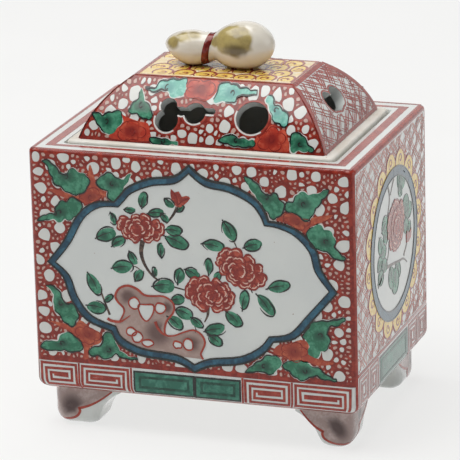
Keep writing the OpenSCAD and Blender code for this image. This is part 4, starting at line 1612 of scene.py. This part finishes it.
def bundle_offsets(rng, reach, lines, apart, pitch):
    """Where the lines of one direction lie, in small groups that come back at a pitch."""
    offsets = []
    place = -reach
    while place < reach:
        offsets += [place + apart * number * rng.uniform(0.9, 1.1) for number in range(rng.choice(lines))]
        place += pitch * rng.uniform(0.85, 1.15)
    return offsets


def hatch_line(surface, rng, middle, reach, turn, offset, width, allowed):
    """One line across, drawn in several strokes that keep to where paint is allowed."""
    count = 0
    start = -reach + rng.uniform(0, 6)
    while start < reach:
        length = rng.uniform(8, 18)
        tilt = rng.uniform(-0.03, 0.03)
        run = []
        for step in range(int(length * 2) + 1):
            place = turned(*middle, turn, start + step / 2, offset + tilt * step / 2)
            if allowed(*place):
                run.append(place)
            elif len(run) > 2:
                break
            else:
                run = []
        if len(run) > 2:
            pen = width * rng.uniform(0.8, 1.2)
            line = [run[0], run[len(run) // 2], run[-1]]
            ribbon("hatch_red", surface, line, (pen * 0.7, pen * 1.15, pen * 0.5), L_GROUND)
            count += 1
        start += max(len(run) / 2, 2) + rng.uniform(0.2, 1.6)
    return count


def hatch(surface, rng, low, high, bundles, allowed):
    """Lattice of thin lines. A bundle is its angles, how many lines run together, how far apart they are,
    the distance to the next group and the width of the pen."""
    middle = ((low[0] + high[0]) / 2, (low[1] + high[1]) / 2)
    reach = math.hypot(high[0] - low[0], high[1] - low[1]) / 2
    count = 0
    for angles, lines, apart, pitch, width in bundles:
        for turn in (math.radians(angle) for angle in angles):
            for offset in bundle_offsets(rng, reach, lines, apart, pitch):
                count += hatch_line(surface, rng, middle, reach, turn, offset, width, allowed)
    return count


# %% Medallion of the short walls
MEDALLION = (1.5, 36.4)
MEDALLION_LEAVES = (
    (-7, 44, 6, 20), (-6.5, 40.5, 4.5, -10), (-11, 39.5, 5.5, -60), (-8.6, 37, 5, 10), (-12, 34.6, 5, 30),
    (-8, 33, 5.5, -20), (-11.5, 30.6, 5.5, 20), (-1.5, 27.5, 7, -70), (2, 25.5, 7.5, -95), (4.6, 28, 6, -50),
    (12.6, 44.4, 6, 20), (15.2, 41.8, 6.5, 5), (13, 38, 5, -20), (15.6, 36.8, 4, 70), (7, 53.6, 5, 60),
    (10, 52, 6, -30), (7.6, 49.6, 4.5, -60),
)
MEDALLION_STEMS = (
    ((-4, 54.5), (-2.4, 51), (-3.4, 47.6), (-5, 45.6)),
    ((2, 54.8), (0.4, 53.2), (-1.6, 51)),
    ((-14, 28.6), (-9, 31.2), (-4.4, 34.5), (-3.4, 38.4)),
    ((-6, 31.8), (0, 31), (6, 30), (10, 29.4), (13.4, 27.4)),
    ((10.4, 30.2), (12.6, 32), (14, 33.4)),
)
MEDALLION_BUD = ((13, 33), (17, 33.4), (17.6, 36), (15.4, 35.2), (13.4, 36.4))
MEDALLION_PEONY = (3, 41, 16, 13.4, 0)
FIELD_HALF, RING_OUT, RING_IN = (20.4, 19.9), (22, 21.3), (19.2, 18.7)
SCALLOPS = 16
SCALLOP_AT, SCALLOP_HALF, SCALLOP_FOOT = (22.2, 21.6), (4.5, 4.3), (19.6, 19)
RING_STEPS = 56


def wreath(surface, rng):
    """Yellow scallops round the medallion, each with a red curl."""
    for index in range(SCALLOPS):
        angle = 360 * (index + 0.25) / SCALLOPS
        turn = math.radians(angle)
        place = on_oval(*MEDALLION, *SCALLOP_AT, turn)
        bows = [math.radians(angle - 125 + 250 * step / 8) for step in range(9)]
        scallop = wobble(rng, [on_oval(*place, *SCALLOP_HALF, bow) for bow in bows], 0.25)
        base = [on_oval(*MEDALLION, *SCALLOP_FOOT, turn + a) for a in (0.2, -0.2)]
        lay("yellow", surface, scallop + base, L_FIELD)
        stroke("line_red", surface, scallop, (0.3, 0.5, 0.4, 0.5, 0.3), L_FILL, 3)
        start, turns = angle + rng.uniform(100, 160), rng.choice((1.1, -1.1))
        curl("line_red", surface, on_oval(*place, 1.6, 1.6, turn), 1.7, start, turns, 0.45, L_FILL)


def medallion(surface, rng):
    wreath(surface, rng)
    outer = oval(*MEDALLION, *RING_OUT, RING_STEPS)
    inner = oval(*MEDALLION, *RING_IN, RING_STEPS)
    lay("white_field", surface, oval(*MEDALLION, *FIELD_HALF, RING_STEPS), L_FIELD - 0.01)
    band("band_blue", surface, outer, inner, L_BAND)
    ribbon("dark_line", surface, outer, (0.3, 0.4, 0.25, 0.4, 0.3), L_LINE, True)
    ribbon("dark_line", surface, inner, (0.25, 0.35, 0.45, 0.3, 0.25), L_LINE, True)
    for points in MEDALLION_STEMS:
        stroke("stem_brown", surface, points, (0.9, 0.7, 0.4), L_FILL + 0.03)
    for place in MEDALLION_LEAVES:
        leaf(surface, *place, rng, rng.uniform(0.7, 0.9), 0.6)
    peony(surface, *MEDALLION_PEONY, rng)
    lay("petal_red", surface, smooth(MEDALLION_BUD, True, 2), L_LINE)


# %% Paint the short walls
SHORT_UNITS = ((-31.6, -23.6), (-22, -14.6), (14.6, 22.4), (24, 31.6))
SHORT_BARS = ((-13, 13),)
SHORT_FRET = 9
SHORT_LINES = ((9.2, 10.1), (65.7, PAINT_TOP))
HATCH_EDGE, HATCH_LOW, HATCH_HIGH = 32.4, 10.3, 65.4


def short_wall(surface, seed):
    rng = random.Random(seed)

    def allowed(u, v):
        return abs(u) < HATCH_EDGE and HATCH_LOW < v < HATCH_HIGH

    count = hatch(surface, rng, (-33, 10), (33, 66), WALL_HATCH, allowed)
    medallion(surface, rng)
    fret_band(surface, SHORT_UNITS, SHORT_BARS, SHORT_FRET, SHORT_EDGE, rng)
    for low, high in SHORT_LINES:
        block("line_red", surface, -SHORT_EDGE, low, SHORT_EDGE, high, L_GROUND)
    for side in (-1, 1):
        block("line_red", surface, side * 32.7, -1, side * SHORT_EDGE, 66, L_GROUND)
    print("short wall hatch lines:", count)


short_wall(RIGHT, 31)
short_wall(LEFT, 47)

# %% [markdown]
# ## Lines on the rim
# The rim has a red line along its outer edge and a broad band inside it.

# %% Rim lines
L_RIM = 0.04


def border(colour, surface, half_u, half_v, width_u, width_v, lift):
    """A frame of four mitred strips. width_u is that of the two strips at the ends of the u axis."""
    corners = ((-1, -1), (1, -1), (1, 1), (-1, 1))
    outer = [(u * half_u, v * half_v) for u, v in corners]
    inner = [(u * (half_u - width_u), v * (half_v - width_v)) for u, v in corners]
    band(colour, surface, outer, inner, lift)


border("rim_red", RIM, HALF_W - 1, HALF_D - 1, 0.7, 0.7, L_RIM)
border("rim_red", RIM, HALF_W - 3.6, HALF_D - 4.3, 2.5, 1.5, L_RIM)
print("strips on the rim:", len(PAINT["rim_red"][RIM]))

# %% [markdown]
# ## Paint on the feet
# Each foot has a lobe of thin purple-brown on its two outer sides, which meets round the corner. A red
# line edges it, and the toe below stays white.

# %% Lobes on the feet
FOOT_LOBE = ((16.7, 10.9), (13.5, 8.4), (10.5, 6.6), (8, 5.6), (6.8, 5.3))
FOOT_TOE = ((6.8, 5.3), (7.1, 4.4), (6.2, 3), (4.4, 2), (2.2, 1.6), (0, 1.5))
# The dark enamel dabs are set to leave the lobe pale at the round corner; that pale strip is a painted
# highlight.
EVEN_POOLS_AND_HIGHLIGHT_GAP = ((5, 5.6, 5, 5.2, 0), (-5, 5.6, 5, 5.2, 0))
TRIMMED_POOLS_AND_HIGHLIGHT_GAP = ((-2.8, 6.7, 5.6, 3.1, -54), (7.6, 8, 2.4, 3, 0))
LOBE_TOP = 11.2
WING_FROM, WING_SPAN = 6.8, 9.9


def foot_lobe(surface, short_side):
    """The lobe, mirrored about the corner. short_side is the side of a trimmed foot, -1 or 1, or 0."""
    half = smooth(FOOT_LOBE, False, 4)[:-1] + smooth(FOOT_TOE, False, 4)
    line = []
    for side in (1, -1):
        trim = RIGHT_TRIM if side == short_side else 0
        wing = [(side * (u - trim * min(max(u - WING_FROM, 0) / WING_SPAN, 1)), v) for u, v in half]
        line += wing if side > 0 else wing[-2::-1]
    fill = line + [(line[-1][0], LOBE_TOP), (line[0][0], LOBE_TOP)]
    lay("foot_purple", surface, fill, L_GROUND)
    for u, v, half_u, half_v, tilt in TRIMMED_POOLS_AND_HIGHLIGHT_GAP if short_side else EVEN_POOLS_AND_HIGHLIGHT_GAP:
        soft_dab("foot_purple", surface, (u, v), half_u, half_v, L_GROUND + 0.02, fill, tilt)
    ribbon("rock_red", surface, line, (0.4, 0.75, 0.7, 0.8, 0.7, 0.75, 0.4), L_FIELD)


for side_x, side_y in FEET.values():
    foot_lobe(foot_surface(side_x, side_y), side_x * side_y if side_x > 0 else 0)
print("feet painted:", len(FEET))

# %% [markdown]
# ## Enamels of the vessel
# Now each colour is fired into its own thin piece, and all of them ride on the vessel.

# %% Fire the vessel's colours
for name, colour, slot in (
    ("red_grounds", "iron_red", "red_ground"), ("wall_bubbles", "bubble_white", "porcelain"),
    ("white_fields", "white_field", "porcelain"), ("blue_bands", "band_blue", "porcelain"),
    ("green_leaves", "leaf_green", "porcelain"), ("green_bars", "bar_green", "porcelain"),
    ("green_bar_lines", "bar_dark", "porcelain"), ("coral_flowers", "coral", "red_ground"),
    ("stems", "stem_brown", "porcelain"), ("peony_edges", "deep_red", "red_enamel"),
    ("peony_petals", "petal_red", "red_enamel"), ("petal_lines", "petal_pink", "porcelain"),
    ("pierced_rocks", "rock_purple", "foot_glaze"), ("rock_lines", "rock_red", "red_enamel"),
    ("foot_lobes", "foot_purple", "foot_glaze"), ("yellow_scallops", "yellow", "yellow_ground"),
    ("hatch_lines", "hatch_red", "hatch_ground"), ("red_lines", "line_red", "red_enamel"),
    ("rim_lines", "rim_red", "red_enamel"), ("dark_lines", "dark_line", "porcelain"),
):
    fire(name, colour, "vessel")

# %% [markdown]
# ## Paint on the lid
# The long panels of the lid repeat the bubbles, with coral flowers and lobed leaves round the vents. A red
# line rings each vent, with a white crescent on its lower left painted as the highlight of its lit inner
# edge.
# Nothing may hang over the edges of the vents, so each shape is pushed clear of them.

# %% Keeping clear of the vents
CLOUD_NECK = tuple((u, 1.28, 1.28) for u in (-8, -6.5, -5))
TAIL_NECK = tuple((u, 1.76, 0.9) for u in (0.4, 1.0, 1.6, 2.12))
LONG_HOLES = ROUND_VENT + CLOUD_VENT + CLOUD_NECK + TAIL_NECK
HEART_POINT = ((0, 0.8, 2.19), (0, -0.4, 1.01), (0, -1.0, 0.43), (-1.5, 0.3, 1.37), (1.5, 0.3, 1.37))
SHORT_HOLES = HEART_LOBES + HEART_POINT


def slope_of(surface):
    """The flat slope that the vents were cut square to, the panel's swell and its vents."""
    if surface in (LID_FRONT, LID_BACK):
        return SLOPE_AT["long"], SWELL_Y, LONG_HOLES
    return SLOPE_AT["short"], SWELL_X, SHORT_HOLES


def up_slope(surface, v):
    """Place along the flat slope for a height v on the swelling panel."""
    (out, z, level, rise), swell, _ = slope_of(surface)
    return level * (FLANGE_Z + v - z) - rise * (lean(swell, FLANGE_Z + v) - out)


def height_at(surface, s):
    """Height v on the swelling panel for a place along the flat slope."""
    (out, z, level, rise), (centre, middle, radius), _ = slope_of(surface)
    beside = s - level * (middle - z) + rise * (centre - out)
    proud = level * (centre - out) + rise * (middle - z) + math.sqrt(radius ** 2 - beside ** 2)
    return z + level * s + rise * proud - FLANGE_Z


def vent_gap(surface, u, v):
    """Distance along the slope from a place to the nearest vent edge, below 0 inside a vent."""
    s = up_slope(surface, v)
    return min(math.hypot(u - a, s - b) - radius for a, b, radius in slope_of(surface)[2])


def pushed_clear(surface, outline, gap):
    """Moves the points of an outline out of the vents."""
    moved = []
    for u, v in outline:
        s = up_slope(surface, v)
        for _ in range(3):
            for a, b, radius in slope_of(surface)[2]:
                far = math.hypot(u - a, s - b)
                if far < radius + gap:
                    grow = (radius + gap) / max(far, 0.01)
                    u, s = a + (u - a) * grow, b + (s - b) * grow
        moved.append((u, height_at(surface, s)))
    return moved


def vent_lip(colour, surface, low, high, lift, first=0, last=360):
    """A line round the vents, between two distances from their edges and two angles."""
    holes = slope_of(surface)[2]
    for a, b, radius in holes:
        count = max(12, int(radius * 14))
        for step in range(count):
            quad = []
            for turn, reach in ((step, low), (step + 1, low), (step + 1, high), (step, high)):
                quad.append(on_oval(a, b, radius + reach, radius + reach, 2 * math.pi * turn / count))
            middle = middle_of(quad)
            nearest = min(math.hypot(middle[0] - c, middle[1] - d) - r for c, d, r in holes)
            if first <= 360 * (step + 0.5) / count <= last and nearest > (low + high) / 2 - 0.06:
                lay(colour, surface, [(u, height_at(surface, s)) for u, s in quad], lift)


print("gap beside the round vent:", round(vent_gap(LID_FRONT, 20, 7.4), 2))

# %% Lid panels with bubbles
LID_FLOWERS = (
    (((-24, 8), (-22.8, 6.6), (-18.2, 5.4), (-15.6, 5.1), (-14.7, 3.2), (-14.9, 0.6), (-25.4, 0.6),
     (-25.6, 2.3), (-23.7, 3.7), (-22.5, 5.1)), (-19.9, 2.8)),
    (((14.9, 2.3), (16, 4.4), (17.7, 6.1), (20.1, 6.8), (21.3, 5.4), (22.9, 5.9), (24.1, 4.2),
     (24.9, 1.8), (24.4, 0.4), (15.3, 0.4)), (19.6, 3.2)),
    (((-7.3, 14.7), (-6.8, 15.4), (1.5, 15.4), (2.2, 13.7), (1, 11.8), (-0.9, 11.1), (-3.7, 11.6),
     (-6.1, 11.3), (-7, 12.8)), (-2.6, 13.4)),
)
LID_LEAVES = (
    ((-31.8, 6.6), (-29.9, 6.6), (-28.5, 6.1), (-26.8, 6.8), (-24, 7.3), (-23.2, 5.4), (-24.4, 3.2),
     (-26.3, 1.8), (-27.5, 2.5), (-29.2, 3.7), (-30.4, 5.1)),
    ((-19.2, 13), (-18.2, 11.3), (-17.3, 9.9), (-15.6, 8.7), (-14.9, 7), (-15.6, 6.1), (-17.3, 6.6),
     (-19, 7.3), (-21.3, 7.8), (-20.6, 9.2), (-19.4, 10.4), (-19.4, 11.8)),
    ((-14.4, 1.6), (-11.8, 1.4), (-8.5, 1), (-6.6, 0.5), (-10, 0.3), (-13.7, 0.3)),
    ((4.9, 2), (6.8, 3.2), (8.2, 3.5), (10.6, 2.8), (13, 2.5), (14.6, 2.5), (14.6, 1.3), (10.6, 1.1),
     (6.8, 1.6)),
    ((25.3, 4.9), (27, 5.1), (28.7, 4.2), (29.6, 2.8), (31.5, 1.3), (29.6, 0.9), (27.7, 1.3), (26.1, 0.6),
     (25.3, 2.3)),
)
# These leaves at the top of the panel are painted paler, a painted sheen where the slope catches the
# overhead light.
LID_LEAVES_WITH_PAINTED_SHEEN = (
    ((-18.2, 13.2), (-15.6, 13), (-14.2, 14.4), (-11.8, 14.9), (-8.5, 15.1), (-7.1, 14.9), (-7.3, 12.3),
     (-9, 11.6), (-10.6, 11.8), (-11.8, 13.2), (-14.2, 13), (-16.1, 12.5)),
    ((2.5, 14.9), (4.9, 15.1), (7.7, 14.4), (10.6, 14), (13.4, 13.5), (8.2, 12.8), (7.7, 11.3),
     (5.3, 11.6), (2.2, 11.3), (2.5, 13.2)),
    ((16.8, 13.2), (18.2, 12.8), (19.1, 11.1), (20.8, 10.6), (22.5, 9.7), (23.7, 8.2), (23, 6.8),
     (21, 7.3), (19.6, 8.2), (18.2, 9.4), (17.7, 11.1), (16.5, 12)),
)
LID_BOX = ((-34, 0.8), (34, 15.4))
VENT_CLEAR = 1.0
# The white crescent on each vent's lower left is a painted highlight of its lit inner edge.
LIP, PAINTED_HIGHLIGHT_LIP, LINE_BEYOND_HIGHLIGHT = (0.06, 0.62), (0.04, 0.5), (0.5, 0.95)
HIGHLIGHT_FROM, HIGHLIGHT_TO = 160, 310


def lid_long_panel(surface, seed):
    rng = random.Random(seed)
    flowers = []
    for outline, heart in LID_FLOWERS:
        flowers.append((pushed_clear(surface, smooth(outline, True, 3), VENT_CLEAR), heart))
    bounds = ((0, 1, 15.2), (0, -1, -0.8), (0.8, 0.6, 30.6), (-0.8, 0.6, 30.6))

    def allowed(u, v, radius):
        edge = lean(SWELL_X, FLANGE_Z + v) - abs(u)
        if v - radius * 0.8 < 0.9 or v + radius * 0.8 > 15.2 or edge < radius * 1.3 + 0.9:
            return False
        return vent_gap(surface, u, v) > radius + 1.1 and not any(holds(fill, u, v) for fill, _ in flowers)

    bubble_ground(surface, rng, *LID_BOX, allowed, LID_BUBBLES, LID_GAP, bounds, flowers, LID_BLOOM)
    for green, outlines in (("leaf_green", LID_LEAVES), ("green_with_painted_sheen", LID_LEAVES_WITH_PAINTED_SHEEN)):
        for outline in outlines:
            lobed_leaf(surface, pushed_clear(surface, outline, VENT_CLEAR), rng, green)
    vent_lip("line_red", surface, *LIP, L_FIELD, 0, HIGHLIGHT_FROM)
    vent_lip("line_red", surface, *LIP, L_FIELD, HIGHLIGHT_TO, 360)
    # Painted highlight: a white crescent on the lower left of each vent, with the red line moved out beyond
    # it.
    vent_lip("bubble_white", surface, *PAINTED_HIGHLIGHT_LIP, L_FIELD, HIGHLIGHT_FROM, HIGHLIGHT_TO)
    vent_lip("line_red", surface, *LINE_BEYOND_HIGHLIGHT, L_FIELD, HIGHLIGHT_FROM, HIGHLIGHT_TO)


lid_long_panel(LID_FRONT, 5)
lid_long_panel(LID_BACK, 8)

# %% Lid panels with hatching
def lid_short_panel(surface, seed):
    rng = random.Random(seed)

    def allowed(u, v):
        if not 0.9 < v < 15.1:
            return False
        return lean(SWELL_Y, FLANGE_Z + v) - abs(u) > 1.1 and vent_gap(surface, u, v) > 0.9

    count = hatch(surface, rng, (-24, 0), (24, 16), LID_HATCH, allowed)
    vent_lip("line_red", surface, *LIP, L_GROUND)
    block("line_red", surface, -22.8, 0.05, 22.8, 1.0, L_GROUND)
    block("line_red", surface, -12.0, 15.1, 12.0, 15.7, L_GROUND)
    print("lid hatch lines:", count)


lid_short_panel(LID_RIGHT, 61)
lid_short_panel(LID_LEFT, 67)

# %% Red lines down the slanting edges
HIP_PEN = 1.5
hip_levels = [1.25 * step for step in range(13)]
for surface, side in itertools.product((LID_RIGHT, LID_LEFT), (-1, 1)):
    line = [(side * (lean(SWELL_Y, FLANGE_Z + v) - HIP_PEN / 2 - 0.2), v) for v in hip_levels]
    ribbon("line_red", surface, line, (HIP_PEN, HIP_PEN), L_GROUND)
print("steps of a slanting line:", len(hip_levels) - 1)

# %% [markdown]
# ## Scrolls on the top of the lid
# The flat top is cream, with yellow lobes, red curls set close together like waves and a red border.

# %% Yellow scrolls
SCROLL_HALF = (21.5, 11.4)
SCROLL_PITCH = (5.8, 5.4)
SCROLL_BORDER = 0.7


def scroll(surface, rng, place, size):
    """A yellow lobe with a red bow over it and a curl in it, kept inside the border."""
    half_u, half_v = SCROLL_HALF
    reach = min(2.9 * size, half_u - abs(place[0])), min(3.6 * size, half_v - abs(place[1]))
    bow = [on_oval(*place, *reach, math.radians(-35 + 255 * step / 8)) for step in range(9)]
    lobe = [drawn_in(point, place, 0.86, 0.86) for point in bow]
    lay("yellow", surface, smooth(lobe, True, 2), L_GROUND - 0.03)
    stroke("line_red", surface, bow, (0.4, 0.8, 0.6, 0.3), L_GROUND, 2)
    start, turns = rng.uniform(180, 260), rng.choice((0.8, -0.8))
    curl("line_red", surface, place, 1.6 * size, start, turns, 0.6, L_GROUND)


def scroll_top(surface, seed):
    rng = random.Random(seed)
    half_u, half_v = SCROLL_HALF
    row = 0
    v = -half_v + 3.2
    while v < half_v - 1:
        u = -half_u + (3 if row % 2 else SCROLL_PITCH[0])
        while u < half_u - 2:
            place = (u + rng.uniform(-0.4, 0.4), v + rng.uniform(-0.4, 0.4))
            scroll(surface, rng, place, rng.uniform(0.88, 1.12))
            u += SCROLL_PITCH[0]
        v += SCROLL_PITCH[1]
        row += 1
    width = SCROLL_BORDER
    border("line_red", surface, half_u + width, half_v + width, width, width, L_GROUND)
    print("scrolls:", len(PAINT["yellow"][surface]))


scroll_top(LID_TOP, 3)

# %% Fire the lid's colours
for name, colour, slot, finish in (
    ("lid_bubbles_and_vent_highlights", "bubble_white", "porcelain", None),
    ("lid_green_leaves", "leaf_green", "porcelain", None),
    ("lid_leaves_with_painted_sheen", "green_with_painted_sheen", "porcelain", None),
    ("lid_coral_flowers", "coral", "red_ground", "bright_coral"),
    ("lid_scrolls", "yellow", "yellow_ground", None),
    ("lid_flower_lines", "deep_red", "red_enamel", None),
    ("lid_hatch_lines", "hatch_red", "hatch_ground", "line_red"),
    ("lid_red_lines", "line_red", "red_enamel", None),
    ("lid_dark_lines", "dark_line", "porcelain", None),
):
    fire(name, colour, "lid", finish)

# %% [markdown]
# ## Floor and light
# The burner stands on a pale sheet that curves up behind it. The sheet glows a little, mostly as the
# camera sees it, so that it stays white and the shadow on it light. One large soft light hangs overhead
# and a dim sky fills in from all round, as in a light tent.

# %% Paper of the floor
PAPER_GLOW = 0.76
UNSEEN_SHARE = 0.35
paper = Finish("pale paper")
paper.colour(paper.clouds(60, 2, 0.3, 0.7, pigment(243, 243, 242), pigment(239, 239, 238)))
paper.fill(paper.skin, {"Roughness": 0.9})
rays = paper.step("ShaderNodeLightPath", {})
seen = UNSEEN_SHARE
for kind in ("Is Camera Ray", "Is Glossy Ray", "Is Transmission Ray"):
    seen = paper.combine("MAXIMUM", rays[kind], seen)
glow = paper.step("ShaderNodeEmission", {"Color": pigment(247, 247, 246), "Strength": 1})
share = paper.combine("MULTIPLY", seen, PAPER_GLOW)
blend = paper.step("ShaderNodeMixShader", {0: share, 1: paper.skin.outputs["BSDF"], 2: glow["Emission"]})
paper.fill(paper.nodes["Material Output"], {"Surface": blend["Shader"]})
print("paper nodes:", len(paper.nodes))

# %% Floor
SWEEP_R = 0.8
SWEEP_STEPS = 8
fresh_start()
bpy.ops.mesh.primitive_plane_add(size=4, location=(0, 0.6, 0))
floor = bpy.context.object
floor.name = "floor"
bpy.ops.object.mode_set(mode="EDIT")
bpy.ops.mesh.select_mode(type="EDGE")
bpy.ops.mesh.select_all(action="DESELECT")
sheet = bmesh.from_edit_mesh(floor.data)
for edge in sheet.edges:
    edge.select_set(all(vert.co.y > 1 for vert in edge.verts))
bmesh.update_edit_mesh(floor.data)
turns = [math.radians(90 * step / SWEEP_STEPS) for step in range(SWEEP_STEPS + 1)]
for before, turn in zip(turns, turns[1:]):
    move = (0, SWEEP_R * (math.sin(turn) - math.sin(before)), SWEEP_R * (math.cos(before) - math.cos(turn)))
    bpy.ops.mesh.extrude_region_move(TRANSFORM_OT_translate={"value": move})
bpy.ops.mesh.extrude_region_move(TRANSFORM_OT_translate={"value": (0, 0, 2)})
bpy.ops.object.mode_set(mode="OBJECT")
bpy.ops.object.transform_apply(location=True)
bpy.ops.object.shade_smooth()
floor.data.materials.append(paper.material)
print("floor faces:", len(floor.data.polygons))

# %% Lights
world = bpy.data.worlds.new("soft sky")
bpy.context.scene.world = world
world.use_nodes = True
sky = world.node_tree.nodes["Background"].inputs
sky["Color"].default_value = (0.95, 0.97, 1, 1)
sky["Strength"].default_value = 0.22


def soft_lamp(name, place, target, size, watts, tint):
    fresh_start()
    bpy.ops.object.light_add(type="AREA", location=place)
    lamp = bpy.context.object
    lamp.name = name
    lamp.data.size = size
    lamp.data.energy = watts
    lamp.data.color = tint
    lamp.rotation_euler = (Vector(target) - Vector(place)).to_track_quat("-Z", "Y").to_euler()


soft_lamp("overhead softbox", (-0.28, -0.1, 1.08), (0, 0, 0.06), 1.1, 14.5, (1, 0.99, 0.97))
soft_lamp("front fill", (-0.9, -1.2, 0.5), (0, 0, 0.05), 0.8, 0.4, (0.97, 0.98, 1))
soft_lamp("right fill", (1.3, 0.15, 0.5), (0, 0, 0.05), 0.8, 2.4, (0.98, 0.99, 1))
bpy.context.scene.view_settings.view_transform = "Standard"
